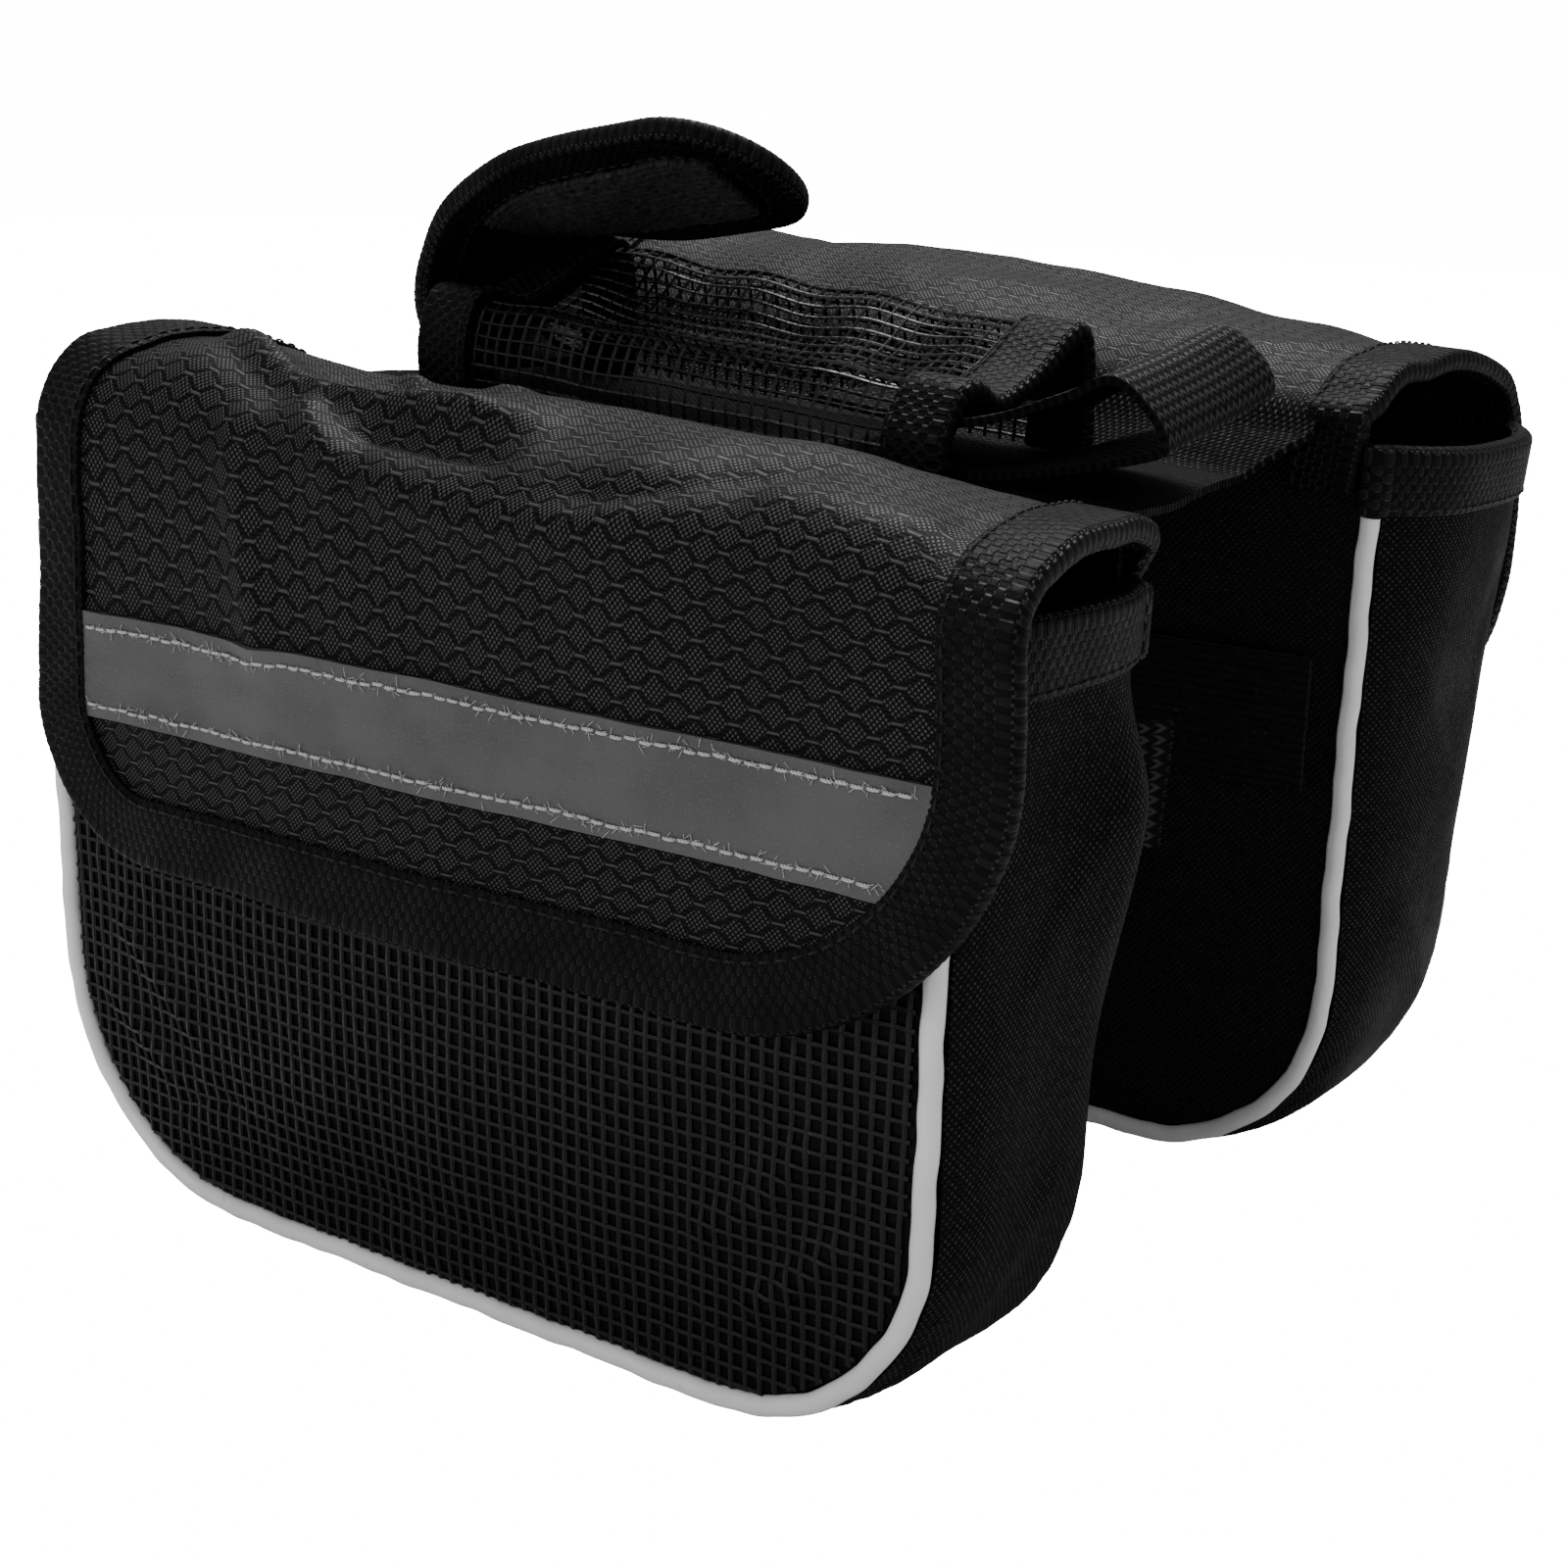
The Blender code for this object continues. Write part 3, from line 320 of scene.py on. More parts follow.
def folded_tape(name, edge, inner, normals, wall, mat):
    """Woven tape folded over a cloth's edge, with a round fold and a scalloped weave."""
    fold = CLEAR + TAPE_WALL
    width = np.linalg.norm(inner - edge, axis=1)
    inward = unit(inner - edge)
    normals = unit(normals - inward * np.sum(normals * inward, axis=1, keepdims=True))
    at = run_lengths(edge)
    count = len(edge)
    cell = (np.arange(count) % 2) + 0.35 * np.sin(at / 0.0031) + 0.3 * np.sin(at / 0.0083)
    # outer side: nine points on each face and nine round the fold; inner side: six points
    flat, nine = np.linspace(1.0, 0.10, 9), np.zeros(9)
    bend = np.linspace(PI / 2, -PI / 2, 9)
    a = np.concatenate([flat, nine, flat[::-1]])
    off = np.concatenate([nine, -np.cos(bend), nine]) * fold
    b = np.concatenate([nine + 1, np.sin(bend), nine - 1])
    thin = np.concatenate([[0.80, 0.97], np.ones(23), [0.97, 0.80]])
    inside_a = np.array([1.0, 0.5, 0.05, 0.05, 0.5, 1.0])
    inside_b = np.array([-1.0, -1.0, -1.0, 1.0, 1.0, 1.0]) * (wall / 2 + CLEAR * 0.4)
    weave = 0.00005 * (cell[:, None] - 0.5)
    scallop = 0.00010 * cell[:, None]
    across = (a * (width[:, None] + scallop) + off - (off < -0.3 * fold) * scallop * 0.8)
    height = b * ((wall / 2 + fold) * thin + weave)
    across = np.concatenate([across, inside_a * width[:, None]], axis=1)[..., None]
    height = np.concatenate([height, np.broadcast_to(inside_b, (count, 6))], axis=1)[..., None]
    verts = edge[:, None] + inward[:, None] * across + normals[:, None] * height
    around = verts.shape[1]
    lengths = np.concatenate([np.linspace(0, TAPE_WIDTH, 9),
                              TAPE_WIDTH + np.linspace(0.0003, 0.0035, 9),
                              TAPE_WIDTH + 0.0038 + np.linspace(0, TAPE_WIDTH, 9),
                              np.linspace(0.03, 0.04, 6)])
    quads = [ring_quads(count, around)]
    # each end is closed between the outer points and the inner ones that face them
    mate = [32 - round(5 * k / 26) for k in range(27)]
    for base, turn in ((0, -1), ((count - 1) * around, 1)):
        for k in range(26):
            if mate[k + 1] != mate[k]:
                quad = [base + x for x in (k, k + 1, mate[k + 1], mate[k])]
                quads.append(np.array([quad[::turn]]))
    return make_mesh(name, verts, np.concatenate(quads), vec(at[:, None], lengths), mat)


def bind(name, node, edge, inner, wall=FABRIC_WALL, step=0.0007, facing=1, sway=0.0):
    """Folded tape over an edge, with a row of stitches on both its faces."""
    _, edge, inner = evenly(run_lengths(edge), step, edge, inner)
    edge[:, 2] += sway * (np.sin(run_lengths(edge) / 0.017) - 0.6)
    normals = unit(np.cross(np.gradient(edge, axis=0), inner - edge)) * facing
    tape = own(folded_tape(f"{name}_tape", edge, inner, normals, wall, TAPE), "tape", node)

    line = inner + unit(edge - inner) * 0.0011
    at = run_lengths(line)
    starts = np.arange(0.001, at[-1] - STITCH_LENGTH, STITCH_PITCH)
    a, b = look_up(starts, at, line), look_up(starts + STITCH_LENGTH, at, line)
    n = unit(look_up(starts, at, normals))
    lift = n * (wall / 2 + TAPE_WALL + CLEAR)
    threads = capsules(f"{name}_stitches", np.concatenate([a + lift, a - lift]),
                       np.concatenate([b + lift, b - lift]), np.concatenate([n, -n]), 0.00022,
                       BLACK_THREAD)
    return tape, own(threads, "tape")


# Materials

def grey(tone, blue=1.0):
    return tone, tone, tone * blue


class Graph:
    """Small helper for procedural materials drawn in the cloth's own UV, in metres."""

    def __init__(self, name):
        self.mat = bpy.data.materials.new(name)
        self.mat.use_nodes = True
        self.tree = self.mat.node_tree
        self.shader = self.tree.nodes["Principled BSDF"]
        uv = self.tree.nodes.new("ShaderNodeUVMap")
        uv.uv_map = "UVMap"
        self.uv = uv.outputs["UV"]
        split = self.tree.nodes.new("ShaderNodeSeparateXYZ")
        self.tree.links.new(self.uv, split.inputs[0])
        self.u, self.v = split.outputs["X"], split.outputs["Y"]

    def feed(self, node, index, value):
        if isinstance(value, (int, float)):
            node.inputs[index].default_value = value
        elif isinstance(value, tuple):
            node.inputs[index].default_value = (*value, 1)
        else:
            self.tree.links.new(value, node.inputs[index])

    def set(self, socket, value):
        self.feed(self.shader, socket, value)

    def node(self, kind, values, output=0, **settings):
        """New node with its first inputs fed."""
        node = self.tree.nodes.new("ShaderNode" + kind)
        for key, value in settings.items():
            setattr(node, key, value)
        for k, value in values.items():
            self.feed(node, k, value)
        return node.outputs[output]

    def op(self, kind, a, b=0.5, c=0.5):
        return self.node("Math", {0: a, 1: b, 2: c}, operation=kind)

    def add(self, a, b):
        return self.op("ADD", a, b)

    def mul(self, a, b):
        return self.op("MULTIPLY", a, b)

    def off(self, a, b):
        """Distance of a value from a number."""
        return self.op("ABSOLUTE", self.op("SUBTRACT", a, b))

    def wave(self, x, pitch, phase=0.0):
        """Sine of a length with that pitch, between -1 and 1."""
        return self.op("SINE", self.op("MULTIPLY_ADD", x, 2 * PI / pitch, phase))

    def zigzag(self, x, pitch):
        """Triangle wave from 0 to 0.5 and back in each pitch."""
        return self.op("PINGPONG", self.op("MULTIPLY_ADD", x, 1 / pitch, 0.0), 0.5)

    def ramp(self, x, low, high, out_low=0.0, out_high=1.0):
        return self.node("MapRange", {0: x, 1: low, 2: high, 3: out_low, 4: out_high},
                         interpolation_type="SMOOTHSTEP")

    def noise(self, scale, detail=3.0, rough=0.55):
        return self.node("TexNoise", {"Vector": self.uv, "Scale": scale, "Detail": detail,
                                      "Roughness": rough}, "Fac")

    def mix(self, share, a, b):
        return self.node("Mix", {0: share, 6: a, 7: b}, 2, data_type="RGBA")

    def finish(self, color, rough, specular, height, distance):
        """Sets the shader from sockets or plain values, bumps it and gives the material."""
        self.set("Base Color", color)
        self.set("Roughness", rough)
        self.set("Specular IOR Level", specular)
        self.set("Normal", self.node("Bump", {"Distance": distance, "Height": height}))
        return self.mat


def plain_weave(name, low):
    """Coarse plain weave: round yarn crossings in a staggered grid, painted highlights and
    glints.
    """
    g = Graph(name)
    slow, fine = g.noise(55, 3), g.noise(1500, 2)
    # the yarn tops are painted lighter as a painted highlight, and the flecks are painted glints
    top = g.ramp(g.mul(g.wave(g.u, 0.00135), g.wave(g.v, 0.00135)), -0.15, 0.85)
    glint_flecks = g.ramp(g.noise(620, 3, 0.7), 0.38, 0.66, 0.35, 1.5)
    shade = g.mul(g.mul(top, glint_flecks), g.ramp(slow, 0.3, 0.7, 0.7, 1.15))
    return g.finish(g.mix(shade, grey(low), grey(0.01564, 1.02)),
                    g.ramp(g.add(slow, g.mul(fine, 0.3)), 0.3, 0.9, 0.52, 0.72),
                    g.ramp(shade, 0, 1, 0.04, 0.26), g.add(top, g.mul(fine, 0.3)), 0.00042)


def jacquard(name):
    """Diamond clusters of yarn dots with dark zigzag bands and short bright floats."""
    g = Graph(name)
    a, b = g.zigzag(g.u, 0.0070), g.zigzag(g.v, 0.0050)
    inside = g.ramp(g.off(g.add(a, b), 0.5), 0.07, 0.11)
    dots = g.ramp(g.mul(g.wave(g.u, 0.00094), g.wave(g.v, 0.00098)), -0.10, 0.45)
    # floats lie where the clusters' side corners meet
    floats = [g.mul(g.ramp(x, 0.13, 0.17, 1, 0), g.ramp(y, 0.030, 0.055, 1, 0))
              for x, y in ((g.off(a, 0.5), b), (a, g.off(b, 0.5)))]
    floats = g.mul(g.op("MAXIMUM", *floats), 0.8)
    ribs = g.ramp(g.wave(g.v, 0.00062), -1, 1, 0.0, 0.10)
    height = g.op("MAXIMUM", g.op("MAXIMUM", g.mul(inside, dots), floats), ribs)
    slow = g.noise(35, 4)
    tone = g.mul(height, g.ramp(slow, 0.3, 0.7, 0.75, 1.2))
    return g.finish(g.mix(tone, (0.0010, 0.0010, 0.0011), (0.046, 0.046, 0.047)),
                    g.ramp(slow, 0.3, 0.7, 0.46, 0.58), g.ramp(height, 0, 1, 0.06, 0.34),
                    g.add(height, g.mul(g.noise(1600, 2), 0.2)), 0.00022)


def tape_weave(name):
    """Basket weave: short floats across the tape in staggered columns along it, painted
    highlights.
    """
    g = Graph(name)
    lobes = g.wave(g.v, 0.0038)
    column = g.op("ABSOLUTE", lobes)
    pick = g.wave(g.u, 0.0023, g.ramp(lobes, -0.02, 0.02, 0, PI))
    blob = g.mul(g.ramp(pick, -0.45, 0.45), g.ramp(column, 0.10, 0.60))
    # the light outline round each float and the thin dashes between the columns are painted
    # highlights
    outline = g.mul(g.mul(blob, g.op("SUBTRACT", 1.0, blob)), 4.0)
    highlight_dash = g.mul(g.ramp(column, 0.04, 0.30, 1, 0), g.ramp(g.wave(g.u, 0.00115), -0.2, 0.6))
    fine = g.noise(1500, 2)
    shade = g.add(g.mul(outline, 0.45), g.add(g.mul(blob, 0.16), g.mul(highlight_dash, 0.85)))
    shade = g.mul(shade, g.ramp(g.noise(110, 3), 0.3, 0.7, 0.55, 1.25))
    return g.finish(g.mix(shade, grey(0.00336), (0.02184, 0.02184, 0.02226)),
                    g.ramp(fine, 0.3, 0.7, 0.42, 0.62), g.ramp(shade, 0, 1, 0.06, 0.34),
                    g.add(g.add(blob, g.mul(highlight_dash, 0.4)), g.mul(fine, 0.2)), 0.0006)


def web_weave(name):
    """Heavy strap webbing: narrow ribs of short slanting floats."""
    g = Graph(name)
    rib = g.op("ABSOLUTE", g.wave(g.v, 0.0040))
    pick = g.wave(g.u, 0.0019, g.mul(g.off(g.zigzag(g.v, 0.0040), 0.25), 14.0))
    height = g.mul(g.ramp(rib, 0.0, 0.55, 0.25, 1.0), g.ramp(pick, -0.6, 0.7))
    fine = g.noise(1300, 2)
    return g.finish(g.mix(height, grey(0.00324), grey(0.01512)),
                    g.ramp(fine, 0.3, 0.7, 0.5, 0.68), g.ramp(height, 0, 1, 0.05, 0.26),
                    g.add(height, g.mul(fine, 0.25)), 0.0006)


def fuzz(name, tone, lint):
    """Matt hook or loop tape with fine fuzz and a little lint."""
    g = Graph(name)
    fine, rows = g.noise(900, 4, 0.7), g.wave(g.v, 0.0016)
    specks = g.ramp(g.noise(420, 3, 0.7), 0.66, 0.74, 0, lint)
    shade = g.mix(g.ramp(g.add(fine, g.mul(rows, 0.06)), 0.35, 0.7), grey(tone * 0.3),
                  grey(tone * 2.6))
    g.set("Sheen Weight", 0.08)
    return g.finish(g.mix(specks, shade, grey(0.30)), 0.92, 0.1,
                    g.add(fine, g.mul(rows, 0.15)), 0.0006)


def net_base(name):
    """Dark cloth with tiny speckles, seen through the net."""
    g = Graph(name)
    fine = g.noise(1400, 2, 0.8)
    color = g.mix(g.ramp(fine, 0.55, 0.75), grey(0.0010), (0.010, 0.010, 0.0105))
    return g.finish(color, g.ramp(g.noise(60), 0.3, 0.7, 0.6, 0.75), 0.12, fine, 0.0002)


def coated_bar(name, rough, specular):
    """Black coating of a net's bars, glossy and a little uneven."""
    g = Graph(name)
    color = g.mix(g.ramp(g.noise(300, 3), 0.35, 0.75), grey(0.0020), (0.006, 0.006, 0.0065))
    return g.finish(color, g.ramp(g.noise(700, 2), 0.3, 0.7, rough - 0.08, rough + 0.1),
                    specular, g.noise(900, 2), 0.00012)


def white_vinyl(name):
    """Smooth white piping with faint rubbed marks."""
    g = Graph(name)
    slow = g.noise(70, 4)
    marks = g.ramp(g.noise(260, 4, 0.7), 0.62, 0.72, 0, 0.35)
    clean = g.mix(g.ramp(slow, 0.3, 0.7), (0.88, 0.88, 0.87), grey(0.96))
    g.set("Coat Weight", 0.2)
    return g.finish(g.mix(marks, clean, (0.45, 0.45, 0.44)),
                    g.ramp(slow, 0.3, 0.7, 0.28, 0.42), 0.5, g.noise(500, 3), 0.0001)


def reflective(name):
    """Grey reflective tape: fine glass grain, partly painted as glints, soft wear, thin creases.
    """
    g = Graph(name)
    grain_and_glints, slow = g.noise(2400, 1, 0.5), g.noise(45, 4)
    wear = g.ramp(g.noise(160, 5, 0.7), 0.6, 0.72, 0, 0.5)
    tone = g.mix(g.ramp(slow, 0.3, 0.7), (0.060, 0.060, 0.063), (0.092, 0.092, 0.095))
    # the brightest grains are painted glints; the grain's bump is real
    tone = g.mix(g.ramp(grain_and_glints, 0.62, 0.72, 0, 0.5), tone, (0.16, 0.16, 0.165))
    g.set("Metallic", 0.25)
    return g.finish(g.mix(wear, tone, (0.048, 0.048, 0.05)),
                    g.ramp(slow, 0.3, 0.7, 0.36, 0.5), 0.5,
                    g.add(g.mul(grain_and_glints, 0.3), slow), 0.00025)


def thread(name, tone):
    """Twisted sewing thread."""
    g = Graph(name)
    twist = g.wave(g.add(g.u, g.v), 0.0005)
    g.set("Sheen Weight", 0.06)
    return g.finish(g.mix(g.ramp(twist, -1, 1), grey(tone * 0.6), grey(tone * 1.15)), 0.6, 0.3,
                    twist, 0.00008)


PLAIN = plain_weave("plain cloth", 0.00306)
# the back panels take a lighter copy of the plain cloth: painted light, as they face the gap
LIT_BACK = plain_weave("lit back cloth", 0.00884)
PATTERN = jacquard("patterned cloth")
NET_BASE = net_base("cloth under net")
BAR = coated_bar("coated net", 0.30, 0.32)
WIDE_BAR = coated_bar("coated front net", 0.45, 0.26)
TAPE = tape_weave("woven tape")
WEB = web_weave("webbing")
VINYL = white_vinyl("white piping")
SILVER = reflective("reflective strip")
HOOK = fuzz("hook tape", 0.024, 0.6)
LOOP = fuzz("loop tape", 0.003, 0.1)
WHITE_THREAD = thread("white thread", 0.80)
BLACK_THREAD = thread("black thread", 0.006)


# Pouches

class Pouch:
    """One pouch's own sizes, with its dents and folds.

    Dents of the flap's top: place along X and down the top as shares, height as a share of the
    crown, and the two spreads. Folds, in mm: height, spread before and behind the line, then the
    line's points, as along X and down a flap, along the seam and across a gusset, or X and Z.
    """

    def __init__(self, name, side, rim, **shape):
        self.name, self.side, self.rim = name, side, rim
        self.seam = rim + SEAM_RISE
        self.__dict__.update(shape)

    def depth(self, z):
        return FLOOR_DEPTH + (self.rim_depth - FLOOR_DEPTH) * z / self.rim

    def bulge(self, z):
        return BOTTOM_BULGE + (self.side_bulge - BOTTOM_BULGE) * z / self.rim

    def place(self, x, inward, z):
        lean = 1 + 2 * self.flare / POUCH_LENGTH * (z / self.rim) ** 2
        return vec(x * lean, self.side * (HALF_GAP + inward), z)


NEAR = Pouch(
    "near", -1, NEAR_RIM, rim_depth=0.050, side_bulge=0.0035, flare=0.0018, crown=0.0075,
    shift=0.0065, skew=0.0040, gusset_seed=11, panel_seed=5, flap_seed=3,
    dents=((0.30, 0.42, -0.75, 0.10, 0.24), (0.16, 0.62, 0.35, 0.06, 0.22),
           (0.46, 0.66, -0.30, 0.14, 0.16), (0.74, 0.40, 0.35, 0.12, 0.20),
           (0.58, 0.16, -0.30, 0.10, 0.12), (1.02, 0.55, -0.60, 0.20, 0.45)),
    folds=((4.1, 6.0, 2.8, -76, 28, -62, 34, -52, 39, -42, 41.5, -32, 42, -18, 41.5, 0, 40.5,
            14, 37),
           (-2.8, 5.0, 5.0, -27, 49, -14, 50, 2, 49, 14, 46),
           (2.0, 2.4, 5.0, -38, 43, -32, 49, -24, 56, -15, 59.5),
           (2.1, 3.2, 4.5, -20, 58, -8, 59.5, 4, 60.5, 13, 60.5, 25, 60, 36, 57, 46, 52),
           (-1.7, 4.0, 4.5, 18, 53, 32, 54, 42, 50, 57, 40, 66, 30),
           (2.0, 9.0, 9.0, 54, 48, 72, 46, 90, 42),
           (1.9, 6.5, 5.0, -44, 48, -43, 60, -41, 70, -38, 80, -36, 88),
           (0.8, 5.0, 6.0, -92, 40, -84, 52, -80, 62, -78, 74),
           (2.0, 2.4, 3.0, -46, 10, -38, 15, -30, 22, -26, 30),
           (1.3, 2.6, 3.6, -26, 8, -16, 14, -8, 24),
           (0.6, 8.0, 9.0, 30, 62, 38, 74, 40, 88, 38, 100),
           (0.8, 6.0, 7.0, 66, 100, 60, 110, 46, 118)),
    gusset_folds=((0.6, 3.5, 5.0, 388, 8, 372, 20, 352, 30),
                  (-0.5, 4.0, 4.0, 404, 40, 392, 30, 380, 28),
                  (0.6, 4.0, 5.0, 330, 10, 318, 22, 300, 34),
                  (0.7, 4.0, 5.0, 20, 10, 36, 22, 60, 34)),
    panel_folds=((1.1, 2.5, 4.0, -86, 44, -76, 34, -64, 25),
                 (0.9, 2.5, 4.0, -80, 58, -70, 46, -56, 34),
                 (-0.8, 3.0, 3.0, -70, 18, -58, 24, -44, 26),
                 (1.1, 2.5, 4.0, 84, 40, 74, 30, 62, 20),
                 (0.8, 3.0, 4.0, 78, 56, 68, 42, 52, 30),
                 (-0.8, 6.0, 6.0, -30, 12, 0, 18, 36, 12)))
FAR = Pouch(
    "far", 1, FAR_RIM, rim_depth=0.066, side_bulge=0.0085, flare=0.0015, crown=0.0130,
    shift=-0.0035, skew=0.0, gusset_seed=31, panel_seed=6, flap_seed=4,
    dents=((0.25, 0.45, -0.10, 0.12, 0.24), (0.62, 0.42, -0.18, 0.18, 0.30),
           (0.85, 0.60, -0.10, 0.10, 0.20), (1.02, 0.50, -0.55, 0.20, 0.50)),
    folds=((1.3, 3.5, 5.0, 56, 8, 70, 18, 88, 27),
           (1.0, 4.0, 6.0, -20, 8, -2, 18, 24, 24),
           (-1.0, 5.0, 5.0, 30, 12, 44, 24, 50, 38),
           (1.2, 6.0, 8.0, -60, 30, -30, 40, 10, 42, 50, 46),
           (1.2, 6.0, 8.0, -30, 88, -26, 104, -30, 124),
           (1.0, 6.0, 8.0, 50, 92, 44, 108, 46, 126)),
    gusset_folds=((0.8, 5.0, 7.0, 398, 10, 380, 26, 360, 44),
                  (-0.7, 5.0, 5.0, 418, 48, 400, 40, 384, 42),
                  (0.8, 4.0, 6.0, 352, 8, 340, 26, 318, 40),
                  (0.8, 4.0, 6.0, 26, 12, 46, 26, 80, 40)),
    panel_folds=((1.2, 3.0, 4.0, -84, 46, -74, 36, -60, 28),
                 (1.2, 3.0, 4.0, 84, 42, 72, 32, 58, 24),
                 (1.0, 6.0, 8.0, -40, 60, -10, 40, 30, 34)))
BACK_FOLDS = ((0.5, 8.0, 8.0, -60, 60, -30, 48, 10, 46), (0.5, 6.0, 6.0, 60, 40, 40, 56, 34, 70))


def fold_height(a, b, folds):
    """Height of a set of folds at points a, b of a cloth, all in metres."""
    a, b = a * 1000, b * 1000
    total = np.zeros(np.broadcast(a, b).shape)
    for rise, before, behind, *points in folds:
        line = spline(np.reshape(points, (-1, 2)), 4)
        at = run_lengths(line)
        best = np.full(total.shape, 1e9)
        signed, share = np.zeros(total.shape), np.zeros(total.shape)
        for k in range(len(line) - 1):
            p, d = line[k], line[k + 1] - line[k]
            long = d @ d
            t = np.clip(((a - p[0]) * d[0] + (b - p[1]) * d[1]) / long, 0, 1)
            off_a, off_b = a - p[0] - t * d[0], b - p[1] - t * d[1]
            dist = np.hypot(off_a, off_b)
            closer = dist < best
            best = np.where(closer, dist, best)
            signed = np.where(closer, np.sign(d[0] * off_b - d[1] * off_a) * dist, signed)
            share = np.where(closer, (at[k] + t * math.sqrt(long)) / at[-1], share)
        spread = np.where(signed < 0, before, behind)
        ends = smooth(share / 0.22) * smooth((1 - share) / 0.22)
        total += rise * np.exp(-(best / spread) ** 1.6 * 1.15) * ends
    return total / 1000


def u_line(top, inset, step):
    """Lengths along the U seam, and its x, z and outward direction in X and Z."""
    half = POUCH_LENGTH / 2 - inset
    turn = np.linspace(0, PI / 2, 40)
    parts = []
    for sign, corner in ((-1, REAR_CORNER - inset), (1, FRONT_CORNER - inset)):
        cx, cz = sign * (half - corner), BOTTOM_BULGE + inset + corner
        parts.append(np.concatenate([
            vec(np.full(40, sign * half), np.linspace(top, cz, 40, endpoint=False), sign, 0),
            vec(cx + sign * corner * np.cos(turn), cz - corner * np.sin(turn),
                sign * np.cos(turn), -np.sin(turn))]))
    line = np.concatenate([parts[0], parts[1][::-1]])
    s, line = evenly(run_lengths(line[:, :2]), step, line)
    line[:, 2:] = unit(line[:, 2:])
    return s, line


def drawn_in(pouch, z):
    """How far the near pouch's back seam is drawn in at its front end."""
    return (pouch is NEAR) * 0.0048 * smooth((0.105 - z) / 0.05) * smooth(z / 0.03)


def swell_share(share):
    return 1 - np.abs(2 * share - 1) ** 3.2


def build_gusset(pouch):
    s, line = u_line(pouch.rim - HEM, 0.0, 0.0018)
    s = s[:, None]
    x, z, ox, oz = (line[:, k][:, None] for k in range(4))
    share = np.linspace(0, 1, 33)[None]
    width = pouch.depth(z) - 2 * GUSSET_MARGIN
    push = pouch.bulge(z) * swell_share(share) - FABRIC_WALL / 2
    # short gathers stand off both seams where they turn, and long soft dents lie between
    seams = np.exp(-share * 7) + np.exp(-(1 - share) * 7)
    seed = pouch.gusset_seed
    gather = np.sin(s * 2 * PI / 0.0085 + 2.5 * wrinkles(s, share, 0.05, seed))
    edge = np.clip(np.minimum(share, 1 - share) / 0.06, 0, 1)
    push = push + 0.00055 * (np.abs(ox * oz) * 2) * seams * gather * edge
    soft = wrinkles(s, share * 0.05, 0.045, seed + 1, 0.7)
    push = push + 0.0008 * soft * edge * np.sin(PI * share) * (1 - 0.6 * np.abs(oz))
    push = push + fold_height(s, share * width, pouch.gusset_folds) * edge
    ahead = np.clip(ox, 0, 1) ** 2
    if pouch is NEAR:
        # fuller beside the back seam, so that it hides the inner piping at the front end
        full = (0.0034 + 0.0024 * smooth((z - 0.05) / 0.06)) * ahead
        push = push + (full * (share / 0.12) * np.exp(1 - share / 0.12)
                       * smooth((pouch.rim - 0.0115 - z) / 0.024))
    x = x - drawn_in(pouch, z) * (1 - share) ** 2.2 * ahead
    grid = pouch.place(x + ox * push, GUSSET_MARGIN + share * width, z + oz * push)
    own(cloth(f"{pouch.name}_gusset_cloth", grid, vec(s, pouch.depth(z) * share), FABRIC_WALL,
              PLAIN), "plain_cloth", f"{pouch.name}_gusset")


def panel_span(z):
    """Rear and front x of a panel at height z."""
    rear, ahead = (POUCH_LENGTH / 2 - corner + np.sqrt(np.maximum(
        0, (corner - PANEL_INSET) ** 2 - np.maximum(0, BOTTOM_BULGE + corner - z) ** 2))
        for corner in (REAR_CORNER, FRONT_CORNER))
    return -rear, ahead


def panel_point(pouch, x, z, front, top):
    """Point of a panel's middle surface, with its swell and creases."""
    rear, ahead = panel_span(z)
    share = np.clip((x - rear) / np.maximum(ahead - rear, 1e-6), 0, 1)
    rise = np.clip((z - PANEL_LOW) / (top - TAPE_WIDTH - PANEL_LOW), 0, 1)
    edge = (np.clip(np.minimum(share, 1 - share) * 14, 0, 1) * np.clip(rise * 12, 0, 1)
            * np.clip((1 - rise) * 8, 0, 1))
    if front:
        face = (pouch.depth(z) - FABRIC_WALL / 2
                + FRONT_PANEL_BULGE * np.sin(PI * share) * np.sin(PI * rise ** 0.8))
        face = face + edge * (fold_height(x, z, pouch.panel_folds)
                              + 0.00045 * wrinkles(x, z, 0.04, pouch.panel_seed))
    else:
        face = FABRIC_WALL / 2 + edge * (0.0004 * wrinkles(x, z, 0.05, 8)
                                         + fold_height(x, z, BACK_FOLDS))
    return pouch.place(x, face, z)


def build_panel(pouch, kind):
    front = kind == "front"
    top = pouch.rim - HEM if front else pouch.seam
    bend = max(REAR_CORNER, FRONT_CORNER) - PANEL_INSET
    z = np.concatenate([PANEL_LOW + bend * (1 - np.cos(np.linspace(0, PI / 2, 22))),
                        np.linspace(PANEL_LOW + bend, top, 40)[1:]])[:, None]
    rear, ahead = panel_span(z)
    share = np.linspace(0, 1, 81)[None]
    x = rear + (ahead - rear) * share
    grid = panel_point(pouch, x, z, front, top)
    if not front:
        grid[..., 0] -= drawn_in(pouch, z) * share ** 6 * np.clip(ahead / 0.09, 0, 1) ** 4
    # the back panel's cloth is the lighter copy of the plain cloth, painted light
    own(cloth(f"{pouch.name}_{kind}_cloth", grid, vec(x, z), FABRIC_WALL,
              NET_BASE if front else LIT_BACK), "net_cloth" if front else "plain_cloth",
        f"{pouch.name}_{kind}_panel")


